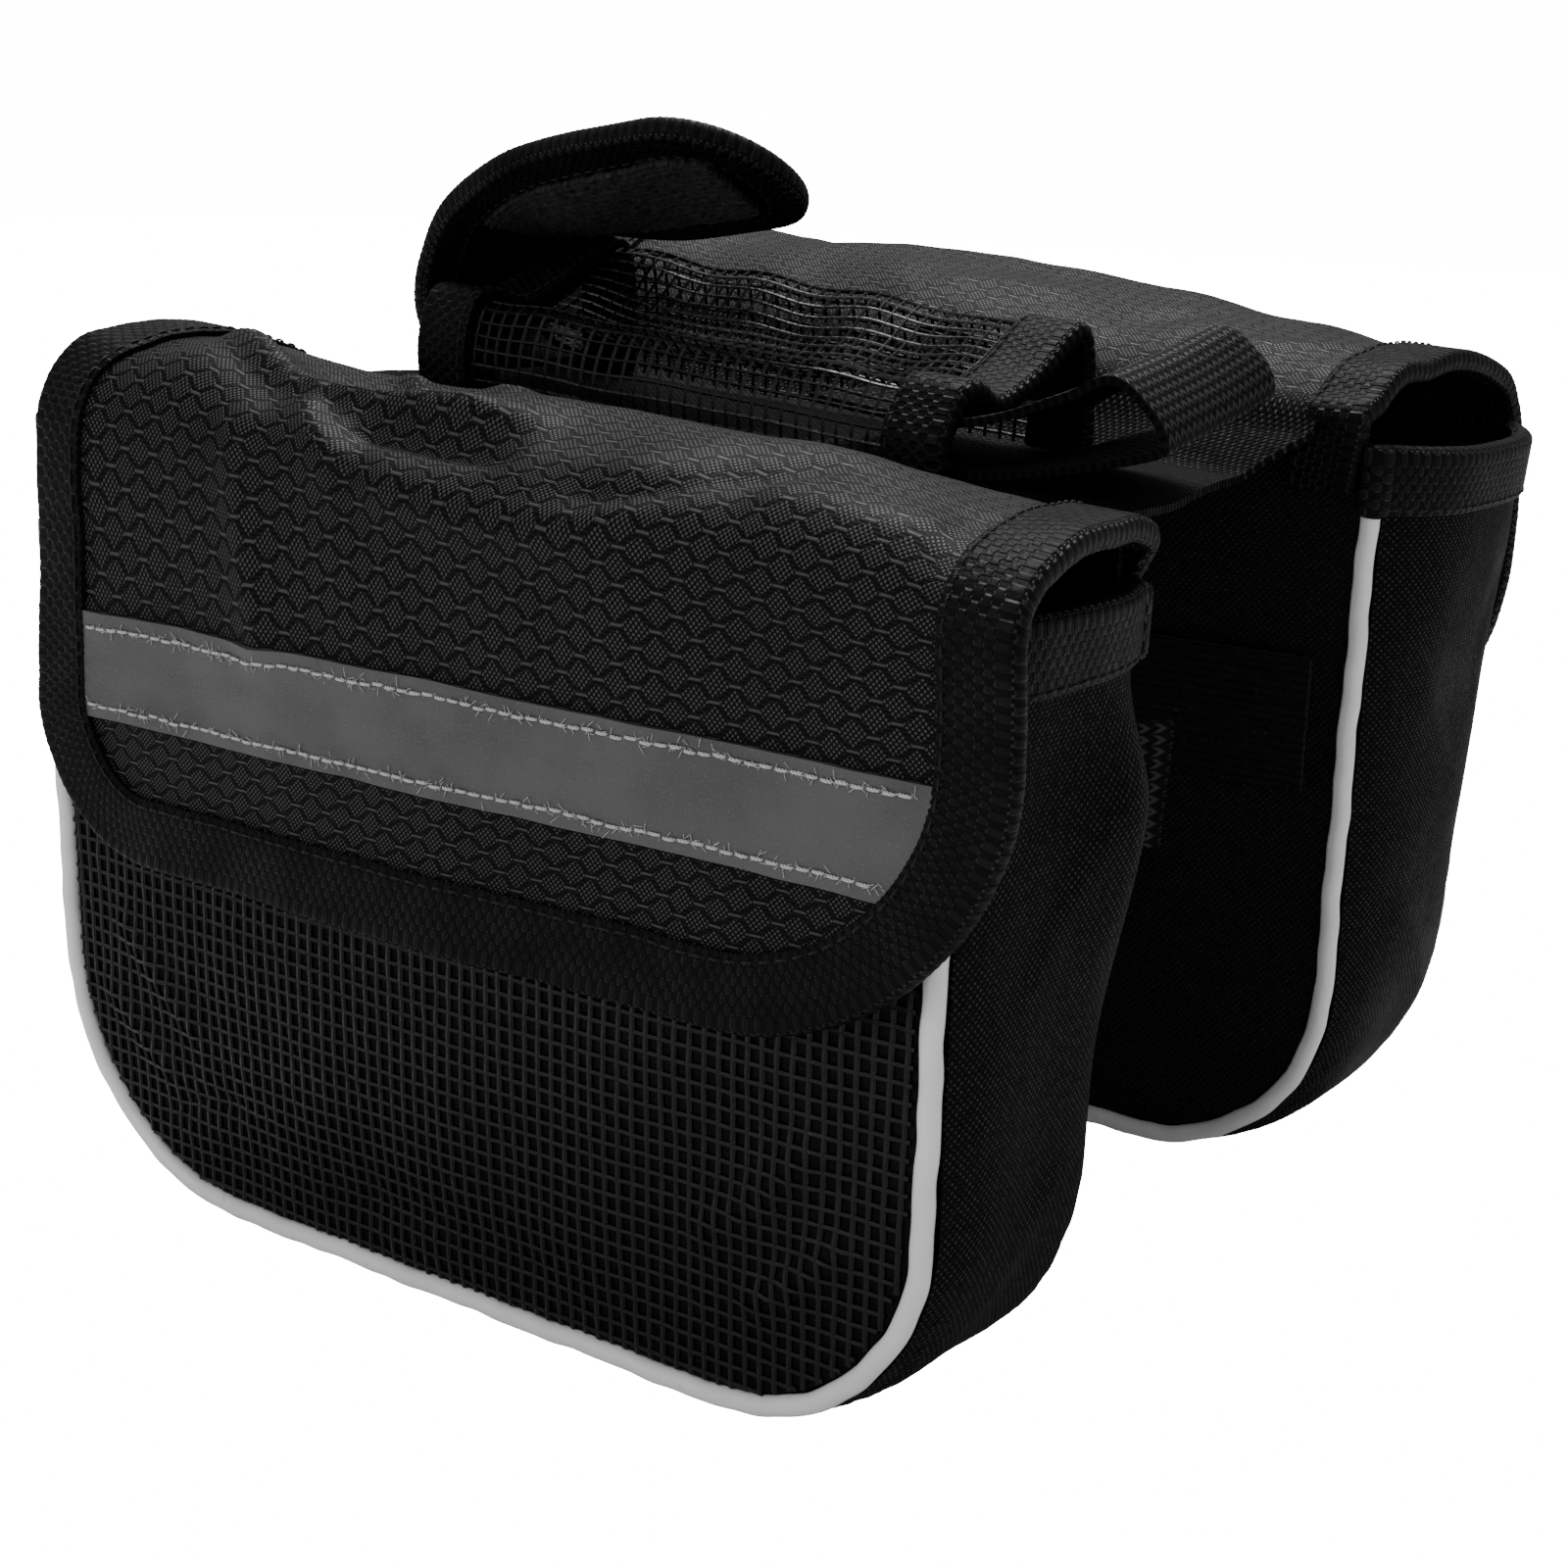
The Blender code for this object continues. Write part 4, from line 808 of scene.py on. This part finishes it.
def build_front_net(pouch):
    """Coated square net over the front panel."""
    top = pouch.rim - HEM
    lines, normals = [], []

    def add(x, z):
        p, n = with_normal(lambda x, z: panel_point(pouch, x, z, True, top), x, z, 0.0004)
        n = n * np.sign(n[..., 1:2]) * pouch.side
        wobble = 0.00012 * wrinkles(x, z, 0.006, 44)
        lines.append(p + n * (FABRIC_WALL / 2 + 0.00035 + wobble[..., None]))
        normals.append(n)

    heights = np.linspace(PANEL_LOW + 0.0002, top - 0.004, 400)
    rear, ahead = panel_span(heights)
    for k in range(-40, 41):
        x = (k + 0.5) * NET_CELL[0]
        z = heights[(x > rear + 0.0004) & (x < ahead - 0.0004)]
        if len(z) >= 8:
            z = np.linspace(z.min(), z.max(), max(3, int(np.ptp(z) / NET_STEP)))
            add(x + 0.00010 * np.sin(z / 0.011 + k), z)
    for k, z in enumerate(np.arange(PANEL_LOW + 0.0015, top - 0.006, NET_CELL[1])):
        rear, ahead = panel_span(z)
        x = np.arange(rear + 0.0003, ahead - 0.0003, NET_STEP)
        add(x, z + 0.00010 * np.sin(x / 0.013 + k))
    own(tubes(f"{pouch.name}_front_net", lines, normals, NET_BAR, 5, WIDE_BAR), "net_cloth")


def build_piping(pouch, kind):
    _, line = u_line(pouch.rim - TAPE_WIDTH - 2 * CLEAR, PIPING_RADIUS, 0.0014)
    x, z, ox, oz = line.T
    at = np.arange(len(x)) * 0.0014
    wobble = 0.00016 * np.sin(at / 0.0046) + 0.00010 * np.sin(at / 0.0017 + 1)
    inward = pouch.depth(z)
    if kind == "inner":
        inward = 0.0
        sink = (0.0006 + 0.0026 * smooth((z - 0.088) / 0.02)) * (pouch is NEAR)
        x = x - (drawn_in(pouch, z) + sink) * np.clip(ox, 0, 1) ** 2
    points = pouch.place(x + ox * wobble, inward, z + oz * wobble)
    own(tubes(f"{pouch.name}_{kind}_bead", [points], [vec(ox, 0, oz)],
              (PIPING_DIAMETER, PIPING_DIAMETER), 12, VINYL, 0.02), "piping",
        f"{pouch.name}_{kind}_piping")


def rim_line(pouch, z):
    """Plan of the rim at height z, as dense points from back seam to back seam."""
    shares = np.linspace(0, 1, 40)
    push = pouch.bulge(z) * swell_share(shares) - FABRIC_WALL / 2
    width = pouch.depth(z) - 2 * GUSSET_MARGIN
    turn = POUCH_LENGTH / 2 - PIPING_RADIUS
    face = pouch.depth(z) - FABRIC_WALL / 2
    sides = []
    for sign in (-1, 1):
        # each end goes a little way round the back seam
        end = pouch.place(sign * (POUCH_LENGTH / 2 - np.array((0.0030, 0.0016, 0.0004))),
                          np.array((-0.0012, -0.0010, 0.0002)), z)
        side = pouch.place(sign * (POUCH_LENGTH / 2 + push), GUSSET_MARGIN + shares * width, z)
        corner = pouch.place(sign * turn, face - FABRIC_WALL / 2, z)
        sides.append(np.concatenate([end, side, corner[None]]))
    x = np.linspace(-turn + 0.004, turn - 0.004, 80)
    front = pouch.place(x, face + 0.0007 * np.sin(x / 0.021), z)
    return np.concatenate([sides[0], front, sides[1][::-1]])


# Flaps

FLAP_SECTION = ((0.00, 0.00), (0.12, 0.45), (0.32, 0.85), (0.56, 1.00), (0.77, 0.80),
                (0.90, 0.40), (0.985, -0.50), (1.00, -1.90))


class Flap:
    """Surface of one flap: x along the bag and s down from its seam."""

    def __init__(self, pouch):
        self.pouch = pouch
        start = FABRIC_WALL + 2 * CLEAR
        base = pouch.seam + CLEAR + FABRIC_WALL / 2
        run = pouch.depth(pouch.seam) + FLAP_STANDOFF - start
        self.section = spline([(start + run * a, base + pouch.crown * b)
                               for a, b in FLAP_SECTION], 12)
        self.at = run_lengths(self.section)
        self.top_run = self.at[-1]
        self.end = self.top_run + self.section[-1, 1] - FLAP_BOTTOM

    def base(self, x, s):
        pouch = self.pouch
        x, s = np.broadcast_arrays(np.asarray(x, float), np.asarray(s, float))
        inward, z = (np.interp(s, self.at, self.section[:, k]) for k in (0, 1))
        # above its seam the flap's tape bends over the back seam
        over = np.maximum(0, -s)
        inward = inward - np.interp(over, (0, 0.0024, 0.0042), (0, 0.0026, 0.0046))
        z = z - np.interp(over, (0, 0.0024, 0.0042, 0.02), (0, 0.0006, 0.0020, 0.0178))
        past = np.maximum(0, s - self.top_run)
        z = z - past
        inward = inward + (pouch.depth(z) - pouch.depth(z + past))
        along = 0.5 + (x - pouch.shift) / FLAP_LENGTH
        down = np.maximum(0, s) / self.top_run
        rise = 0.0
        for at_x, at_s, high, wide, tall in pouch.dents:
            rise = rise + high * np.exp(-((along - at_x) / wide) ** 2
                                        - ((down - at_s) / tall) ** 2)
        fade = np.clip(down / 0.25, 0, 1) * np.clip((1 - down) / 0.28, 0, 1)
        z = z + pouch.crown * rise * fade
        waves = np.cos(2 * PI * FLAP_WAVE_COUNT * x / POUCH_LENGTH)
        z = z + FLAP_WAVE * np.maximum(0, 1 - down) * waves
        skew = pouch.skew * np.sin(PI * np.maximum(0, s) / self.end)
        return vec(x + skew, pouch.side * (HALF_GAP + inward), z)

    def at_point(self, x, s):
        """Surface with its folds."""
        p, n = with_normal(self.base, x, s, 0.0006)
        seed = self.pouch.flap_seed
        h = (fold_height(x, s, self.pouch.folds) + 0.00045 * wrinkles(x, s, 0.032, seed)
             + 0.00016 * wrinkles(x, s, 0.011, seed + 9))
        h = h * np.clip(s / 0.006, 0, 1)
        # the lower edge curls a little away from the pouch
        h = h + 0.0016 * smooth((s - self.end + 0.022) / 0.022) * (
            1 + 0.5 * np.sin(x / 0.024 + 1))
        h = h + 0.0007 * smooth((s / self.top_run - 1.05) / 0.3) * np.sin(x / 0.019 + s / 0.05)
        return p + n * (h * self.pouch.side)[..., None]

    def surface(self, x, s, lift=0.0):
        p, n = with_normal(self.at_point, x, s, 0.0005)
        n = n * self.pouch.side
        return p + n * lift, n

    def edge_x(self, s, sign, inset):
        corner = (FLAP_REAR_CORNER if sign < 0 else FLAP_FRONT_CORNER) - inset
        pull, slope = FLAP_SEAM_SHORTER, 0.45
        if self.pouch is FAR and sign > 0:
            pull, slope = 0.0022, 0.12
        reach = (FLAP_LENGTH / 2 + sign * self.pouch.shift
                 - pull * np.maximum(0, 1 - s / (FLAP_TAPER * self.top_run))
                 - slope * np.maximum(0, -s))
        past = np.maximum(0, s - (self.end - inset - corner))
        cut = corner - np.sqrt(np.maximum(0, corner ** 2 - past ** 2))
        return sign * (reach - inset - cut)

    def span(self, s, inset, count):
        """Grid of x and s between the two ends, and the ends."""
        rear, front = self.edge_x(s, -1, inset), self.edge_x(s, 1, inset)
        x = rear + (front - rear) * np.linspace(0, 1, count)[None]
        return x, np.broadcast_to(s, x.shape), front - rear

    def outline(self, inset):
        """Ends and lower edge, with matching points for every inset."""
        start = -0.0175 if self.pouch is FAR else -0.0150
        sides = []
        for sign, corner in ((-1, FLAP_REAR_CORNER), (1, FLAP_FRONT_CORNER)):
            radius = corner - inset
            turn_s = self.end - inset - radius
            s = np.concatenate([np.linspace(start, self.top_run, 64),
                                np.linspace(self.top_run, turn_s, 20)[1:],
                                turn_s + radius * np.sin(np.linspace(0, PI / 2, 30)[1:])])
            sides.append(vec(self.edge_x(s, sign, inset), s))
        rear, front = sides
        bottom = rear[-1] + (front[-1] - rear[-1]) * np.linspace(0, 1, 60)[1:-1, None]
        x, s = np.concatenate([rear, bottom, front[::-1]]).T
        return self.surface(x, s)[0]


def build_flap(pouch):
    flap = Flap(pouch)
    name = pouch.name
    low = flap.end - HEM
    bend = max(FLAP_REAR_CORNER, FLAP_FRONT_CORNER) - HEM
    s = np.concatenate([np.arange(0, low - bend, 0.0015),
                        low - bend + bend * np.sin(np.linspace(0, PI / 2 - 0.02, 34))])
    x, s, widths = flap.span(s[:, None], HEM, 136)
    grid, normals = flap.surface(x, s)
    body = own(cloth(f"{name}_flap_cloth", grid, vec(x, s), FABRIC_WALL, PATTERN, normals),
               "patterned_cloth", f"{name}_flap")
    tape, seams = bind(f"{name}_flap", f"{name}_flap_binding", flap.outline(HEM),
                       flap.outline(TAPE_WIDTH), step=0.0008, facing=-pouch.side)

    # the strip puckers softly along its seams
    lift = FABRIC_WALL / 2 + STRIP_WALL / 2 + 0.0001
    top_s = flap.top_run + flap.section[-1, 1] - STRIP_TOP
    s = (top_s + STRIP_HEIGHT * np.linspace(0, 1, 15))[:, None]
    x, s, _ = flap.span(s, TAPE_WIDTH - 0.0016, 140)
    pucker = 0.00016 * np.sin(x / 0.0021 + 0.7 * np.sin(x / 0.013)) * np.exp(
        -np.abs(np.minimum(s - top_s, top_s + STRIP_HEIGHT - s) - 0.002) / 0.0016)
    grid, normals = flap.surface(x, s, lift)
    strip = own(cloth(f"{name}_strip", grid + normals * pucker[..., None], vec(x, s),
                      STRIP_WALL, SILVER, normals), "reflective", f"{name}_reflective_strip")

    # two rows of stitches, with short hairs that stand off them
    stitches, hairs = [], []
    lift = lift + STRIP_WALL / 2
    for row in (0.0020, STRIP_HEIGHT - 0.0022):
        s0 = top_s + row
        left = float(flap.edge_x(np.array(s0), -1, TAPE_WIDTH)) + 0.001
        right = float(flap.edge_x(np.array(s0), 1, TAPE_WIDTH)) - 0.001
        at = np.arange(left, right - 0.0022, 0.0027)
        jitter = RNG.normal(0, 0.00012, len(at))
        start, _ = flap.surface(at, s0 + jitter, lift + 0.00012)
        end, n = flap.surface(at + 0.0024, s0 + jitter, lift + 0.00012)
        stitches.append((start, end, n))
        hx = RNG.uniform(left, right, LINT_COUNT)
        hs = s0 + RNG.normal(0, 0.0003, LINT_COUNT)
        length = RNG.uniform(0.0006, 0.0022, LINT_COUNT)
        angle = RNG.uniform(0, 2 * PI, LINT_COUNT)
        start, n = flap.surface(hx, hs, lift + 0.0001)
        end, _ = flap.surface(hx + length * np.cos(angle), hs + length * np.sin(angle) * 0.8,
                              lift + 0.0003)
        hairs.append((start, end, n))
    white, lint = (
        own(capsules(f"{name}_strip_{kind}", *[np.concatenate(v) for v in zip(*rows)], radius,
                     WHITE_THREAD, sides), "reflective")
        for kind, rows, radius, sides in (("stitches", stitches, 0.00030, 6),
                                          ("lint", hairs, 0.00006, 4)))


# Bridge and pocket

def build_bridge():
    drops = np.array(((0.0, 0.0), (0.035, 0.0), (0.10, 0.55), (0.18, 1.0), (0.82, 1.0),
                      (0.90, 0.55), (0.965, 0.0), (1.0, 0.0)))
    reach = HALF_GAP + FABRIC_WALL
    share = np.linspace(0, 1, 49)[None]
    x = np.linspace(-BRIDGE_REAR, BRIDGE_FRONT, 83)[:, None]
    drop = np.interp(share, *drops.T)
    rim = np.where(share < 0.5, NEAR.seam, FAR.seam) + CLEAR + FABRIC_WALL / 2
    z = rim + (BRIDGE_TOP - FABRIC_WALL / 2 - rim) * drop
    z = z + 0.0012 * smooth((x - 0.035) / 0.045) * smooth((share - 0.45) / 0.3) * (share < 0.9)
    # loose in front of the pocket and behind it
    loose = np.clip((np.abs(x + 0.011) - 0.045) / 0.02, 0, 1)
    z = z + loose * 0.0006 * wrinkles(x, share * 0.09, 0.03, 21) * (drop > 0.4)
    y = -reach + 2 * reach * share
    # the front edge slants, and ends under the far flap's tape
    slant = ((0.0035 - 0.0080 * share + 0.0105 * smooth((share - 0.80) / 0.15))
             * smooth((x - 0.02) / 0.06))
    obj = own(cloth("bridge_cloth", vec(x + slant, y, z), vec(x, y), FABRIC_WALL, PLAIN),
              "plain_cloth", "bridge_panel")


def pocket_section(x):
    """Soft middle line of the pocket across Y at x: leaning walls and a sagging top."""
    share = (x + POCKET_REAR) / (POCKET_REAR + POCKET_FRONT)
    half = POCKET_WIDTH / 2
    floor = BRIDGE_TOP + CLEAR
    valley = 0.0040 * math.sin(PI * (0.25 + 0.75 * share)) ** 2 + 0.0032 * share
    near = floor + 0.0165 - 0.0020 * share
    far = near + 0.0090 - 0.0010 * share
    lean = 0.0018 + 0.0022 * share
    line = spline(((-half, floor), (-half - 0.0004, floor + 0.006),
                   (-half + lean * 0.5, near - 0.0045), (-half + lean + 0.0016, near - 0.0006),
                   (-half + lean + 0.0065, near - 0.0004), (-0.007, near - valley),
                   (0.006, (near + far) / 2 - valley), (half - 0.0080, far - 0.0014),
                   (half - 0.0028, far - 0.0002), (half - 0.0006, far - 0.0046),
                   (half + 0.0004, floor + 0.008), (half, floor)), 12)
    at = run_lengths(line)
    s = np.linspace(0, at[-1], 121)
    return vec(x, *look_up(s, at, line).T), s


def pocket_at(x, t):
    """Pocket surface at x for shares t across it, with the net's sag."""
    line, s = pocket_section(x)
    p = look_up(t * s[-1], s, line)
    free = np.clip((x + POCKET_REAR - 0.008) / 0.01, 0, 1) * np.clip(
        (POCKET_FRONT - 0.008 - x) / 0.01, 0, 1)
    p[..., 2] += free * np.sin(PI * t) * 0.0009 * wrinkles(x, t * 0.075, 0.03, 17)
    p[..., 1] += free * (1 - np.abs(2 * t - 1)) * 0.0006 * wrinkles(x, t * 0.075, 0.04, 19)
    return p


def build_pocket():
    rear, front = -POCKET_REAR + 0.009, POCKET_FRONT - 0.009
    surface = np.stack([pocket_at(x, np.linspace(0, 1, 121))
                        for x in np.linspace(rear, front, 90)])
    surface_n = -grid_normals(surface)
    surface_n *= np.where(surface_n[..., 2:3].mean() < 0, -1, 1)
    lines, normals = [], []

    def add(x, t):
        """A bar's line and normals, looked up between the dense surface's points."""
        fx, ft = (x - rear) / (front - rear) * 89, t * 120
        i = np.clip(np.floor(fx).astype(int), 0, 88)
        j = np.clip(np.floor(ft).astype(int), 0, 119)
        a, b = (fx - i)[..., None], (ft - j)[..., None]
        for values, out in ((surface, lines), (surface_n, normals)):
            out.append((values[i, j] * (1 - a) + values[i + 1, j] * a) * (1 - b)
                       + (values[i, j + 1] * (1 - a) + values[i + 1, j + 1] * a) * b)

    t = np.linspace(0.004, 0.996, 74)
    for k, x in enumerate(np.linspace(rear, front, 34)):
        add(np.clip(x + 0.0003 * np.sin(t * 9 + k), rear, front), t)
    x = np.linspace(rear, front, 84)
    for k in range(31):
        add(x, np.clip(0.02 + 0.96 * k / 30 + 0.0018 * np.sin(x / 0.009 + k), 0, 1))
    own(tubes("phone_net", lines, normals, POCKET_BAR, 5, BAR), "net", "phone_pocket_net")

    for name, x, inward in (("rear", -POCKET_REAR, 1), ("front", POCKET_FRONT, -1)):
        edge, _ = pocket_section(x)
        inner = edge + np.array((inward * (TAPE_WIDTH - CLEAR - TAPE_WALL), 0, 0))
        bind(f"pocket_{name}", f"pocket_{name}_binding", edge, inner, POCKET_WALL)


# Tongue and straps

class Tongue:
    """Surface of the closure tongue: s along it from its root, and across it."""

    def __init__(self):
        run = ((0.00, 0.00), (-0.10, 0.05), (-0.16, 0.24), (-0.14, 0.48), (-0.05, 0.70),
               (0.17, 0.85), (0.50, 1.02), (0.80, 1.13))
        base = BRIDGE_TOP + CLEAR + FABRIC_WALL / 2 + HEM
        self.line = spline([(TONGUE_REACH * a - TONGUE_ROOT, 0, base + TONGUE_RISE * b)
                            for a, b in run], 14)
        self.at = run_lengths(self.line)
        self.end = self.at[-1]
        self.along = unit(np.gradient(self.line, axis=0))

    def point(self, s, across):
        s, across = np.broadcast_arrays(s, across)
        p = look_up(s, self.at, self.line)
        t = unit(look_up(s, self.at, self.along))
        # it twists toward its tip, and its root lies toward the far side
        turn = TONGUE_TWIST * smooth((s / self.end - 0.16) / 0.54)[..., None]
        side = np.zeros_like(p)
        side[..., 1] = -1
        up = unit(np.cross(side, t))
        across_dir = side * np.cos(turn) + up * np.sin(turn)
        cup = (0.0016 * (across / (TONGUE_WIDTH / 2)) ** 2 * smooth(s / 0.03)
               + 0.0006 * wrinkles(s, across, 0.035, 27))
        p[..., 1] += 0.0066 * (1 - smooth((s - 0.026) / 0.034))
        return (p + across_dir * across[..., None]
                + unit(np.cross(across_dir, t)) * cup[..., None])

    def half_width(self, s, inset):
        half = TONGUE_WIDTH / 2 - inset
        past = np.maximum(0, half - (self.end - inset - s))
        return np.sqrt(np.maximum(0, half ** 2 - past ** 2))

    def outline(self, inset):
        half = TONGUE_WIDTH / 2 - inset
        turn_s = self.end - inset - half
        s = np.linspace(0, turn_s, 80)
        turn = np.linspace(0, PI, 40)[1:-1]
        return self.point(*np.concatenate([
            vec(s, half), vec(turn_s + half * np.sin(turn), half * np.cos(turn)),
            vec(s[::-1], -half)]).T)


def build_tongue():
    tongue = Tongue()
    half = TONGUE_WIDTH / 2 - HEM
    turn_s = tongue.end - HEM - half
    s = np.concatenate([np.linspace(0, turn_s, 60),
                        turn_s + half * np.sin(np.linspace(0, PI / 2 - 0.04, 16)[1:])])[:, None]
    across = tongue.half_width(s, HEM) * np.linspace(-1, 1, 27)[None]
    own(cloth("tongue_cloth", tongue.point(s, across), vec(s, across), FABRIC_WALL, PLAIN),
        "plain_cloth", "closure_tongue")
    bind("tongue", "tongue_binding", tongue.outline(HEM), tongue.outline(TONGUE_TAPE_WIDTH),
         FABRIC_WALL + 2 * CLEAR)

    start = tongue.end - TAPE_WIDTH - PATCH_LENGTH
    s = np.linspace(start, start + PATCH_LENGTH, 60)[:, None]
    reach = np.minimum(PATCH_WIDTH / 2, tongue.half_width(s, TONGUE_TAPE_WIDTH + 2 * CLEAR))
    across = reach * np.linspace(-1, 1, 31)[None]
    plain = tongue.point(s, across)
    normals = grid_normals(plain)
    lift = FABRIC_WALL / 2 + 3 * CLEAR + PATCH_WALL / 2
    grid = plain - normals * (lift + 0.00022 * RNG.normal(0, 1, across.shape))[..., None]
    own(cloth("tongue_hook", grid, vec(s, across), PATCH_WALL, HOOK, normals), "hook_and_loop",
        "tongue_patch")


def build_head_strap():
    run = ((0.00, 0.00, 0.00), (0.50, 0.45, 0.00), (0.95, 1.00, 0.00), (1.00, 1.00, 0.22),
           (0.91, 1.00, 0.62), (0.74, 1.00, 1.00), (0.50, 0.60, 1.00), (0.00, 0.00, 1.00))
    low = BRIDGE_TOP + CLEAR + WEB_WALL / 2
    out = HEAD_STRAP_END - WEB_WALL / 2 - POCKET_FRONT
    path = [(POCKET_FRONT + out * a, 0,
             low + HEAD_STRAP_GAP * b + (HEAD_STRAP_GAP + HEAD_STRAP_SWELL * a) * c)
            for a, b, c in run]
    path = [(HEAD_STRAP_ROOT, 0, path[0][2])] + path + [(HEAD_STRAP_ROOT, 0, path[-1][2])]
    line = spline(path, 16)
    _, line = evenly(run_lengths(line), 0.0011, line)
    at = run_lengths(line)[:, None]
    share = np.linspace(0, 1, 33)[None]
    x = line[:, 0][:, None]
    free = np.clip((x - POCKET_FRONT) / out, 0, 1)
    z = line[:, 2][:, None] + HEAD_STRAP_ROLL * free * share
    wave = free * 0.0005 * np.sin(at / 0.009 + share * 4)
    grid = vec(x, HEAD_STRAP_OFFSET + HEAD_STRAP_WIDTH * (share - 0.5), z + wave)
    n = grid_normals(grid)
    ribs = 0.00012 * np.abs(np.sin(share * PI * 10))
    own(cloth("head_webbing", grid + n * ribs[..., None], vec(at, HEAD_STRAP_WIDTH * share),
              WEB_WALL * 0.9, WEB, n), "webbing", "head_strap")


def build_side_straps():
    """Loop band on the far back panel, and the near one's strap with its free end."""
    half = POUCH_LENGTH / 2 - BAND_INSET
    x = np.linspace(-half, half, 150)[None]
    z = np.linspace(BAND_TOP - BAND_HEIGHT, BAND_TOP, 26)[:, None]
    fuzzy = 0.00012 * RNG.normal(0, 1, (26, 150))
    grid = vec(x, HALF_GAP - CLEAR - PATCH_WALL / 2 + fuzzy - 0.0001, z)
    own(cloth("loop_band", grid, vec(x, z), PATCH_WALL, LOOP,
              np.broadcast_to(np.array((0.0, -1.0, 0.0)), grid.shape)), "hook_and_loop",
        "fastening_band")

    share = np.linspace(0, 1, 64)[None]
    free = np.clip((share - 0.4) / 0.6, 0, 1)
    x = SIDE_STRAP_ROOT + SIDE_STRAP_LENGTH * share
    z = np.linspace(SIDE_STRAP_TOP - SIDE_STRAP_WIDTH, SIDE_STRAP_TOP, 20)[:, None]
    middle = SIDE_STRAP_TOP - SIDE_STRAP_WIDTH / 2
    curl = 0.0010 * free * np.sin((z - middle) * 150)
    y = -(HALF_GAP - CLEAR - WEB_WALL / 2) + SIDE_STRAP_STANDOFF * free ** 2 + curl
    own(cloth("side_webbing", vec(x, y, z), vec(x, z), WEB_WALL, WEB), "webbing",
        "fastening_strap")


for pouch in (NEAR, FAR):
    build_gusset(pouch)
    build_panel(pouch, "front")
    build_front_net(pouch)
    build_panel(pouch, "back")
    build_piping(pouch, "inner")
    build_piping(pouch, "outer")
    bind(f"{pouch.name}_rim", f"{pouch.name}_rim_binding", rim_line(pouch, pouch.rim - HEM),
         rim_line(pouch, pouch.rim - TAPE_WIDTH), sway=0.0005)
    build_flap(pouch)
build_bridge()
build_pocket()
build_tongue()
build_head_strap()
build_side_straps()


# Stage, light and camera

def area_light(name, place, target, size, power):
    data = bpy.data.lights.new(name, "AREA")
    data.shape = "RECTANGLE"
    data.size, data.size_y = size
    data.energy = power
    obj = add_object(name, data)
    obj.location = place
    obj.rotation_euler = (Vector(target) - Vector(place)).to_track_quat("-Z", "Y").to_euler()


# the floor and the sky are brighter to the camera, as in the photo's plain white surround
floor_mesh = bpy.data.meshes.new("floor")
floor_mesh.from_pydata([(-4, -4, 0), (4, -4, 0), (4, 4, 0), (-4, 4, 0)], [], [(0, 1, 2, 3)])
floor = add_object("floor", floor_mesh)
pale = Graph("pale floor")
for socket, value in (("Base Color", grey(0.90)), ("Roughness", 0.7),
                      ("Specular IOR Level", 0.2), ("Emission Color", grey(1.0))):
    pale.set(socket, value)
pale.set("Emission Strength", pale.mul(pale.node("LightPath", {}, "Is Camera Ray"), 17.0))
floor_mesh.materials.append(pale.mat)

world = bpy.data.worlds.new("studio")
bpy.context.scene.world = world
world.use_nodes = True
background = world.node_tree.nodes["Background"]
background.inputs["Color"].default_value = (1, 1, 1, 1)
rays = world.node_tree.nodes.new("ShaderNodeLightPath")
level = world.node_tree.nodes.new("ShaderNodeMapRange")
level.inputs["To Min"].default_value = 0.32
level.inputs["To Max"].default_value = 16
world.node_tree.links.new(rays.outputs["Is Camera Ray"], level.inputs["Value"])
world.node_tree.links.new(level.outputs[0], background.inputs["Strength"])

area_light("key", (-0.25, 0.55, 1.25), (0, 0, 0.1), (0.8, 0.6), 18)
area_light("front_fill", (-0.35, -1.35, 0.75), (0, 0, 0.08), (0.9, 0.9), 6.6)
area_light("side_fill", (1.2, -0.2, 0.6), (0, 0, 0.08), (0.7, 0.9), 1.1)

camera_data = bpy.data.cameras.new("camera")
camera_data.sensor_width = 36.0
camera_data.lens = 56.39
camera_data.clip_start = 0.01
camera = add_object("camera", camera_data)
azimuth, elevation, roll = (math.radians(a) for a in (35.64, 14.72, 1.5))
back = np.array((math.sin(azimuth) * math.cos(elevation),
                 -math.cos(azimuth) * math.cos(elevation), math.sin(elevation)))
right = np.array((math.cos(azimuth), math.sin(azimuth), 0))
up = np.cross(back, right)
right, up = (math.cos(roll) * right + math.sin(roll) * up,
             -math.sin(roll) * right + math.cos(roll) * up)
camera.matrix_world = Matrix([[right[k], up[k], back[k], p] for k, p in
                              enumerate((0.2652, -0.3806, 0.1951))] + [[0, 0, 0, 1]])
bpy.context.scene.camera = camera
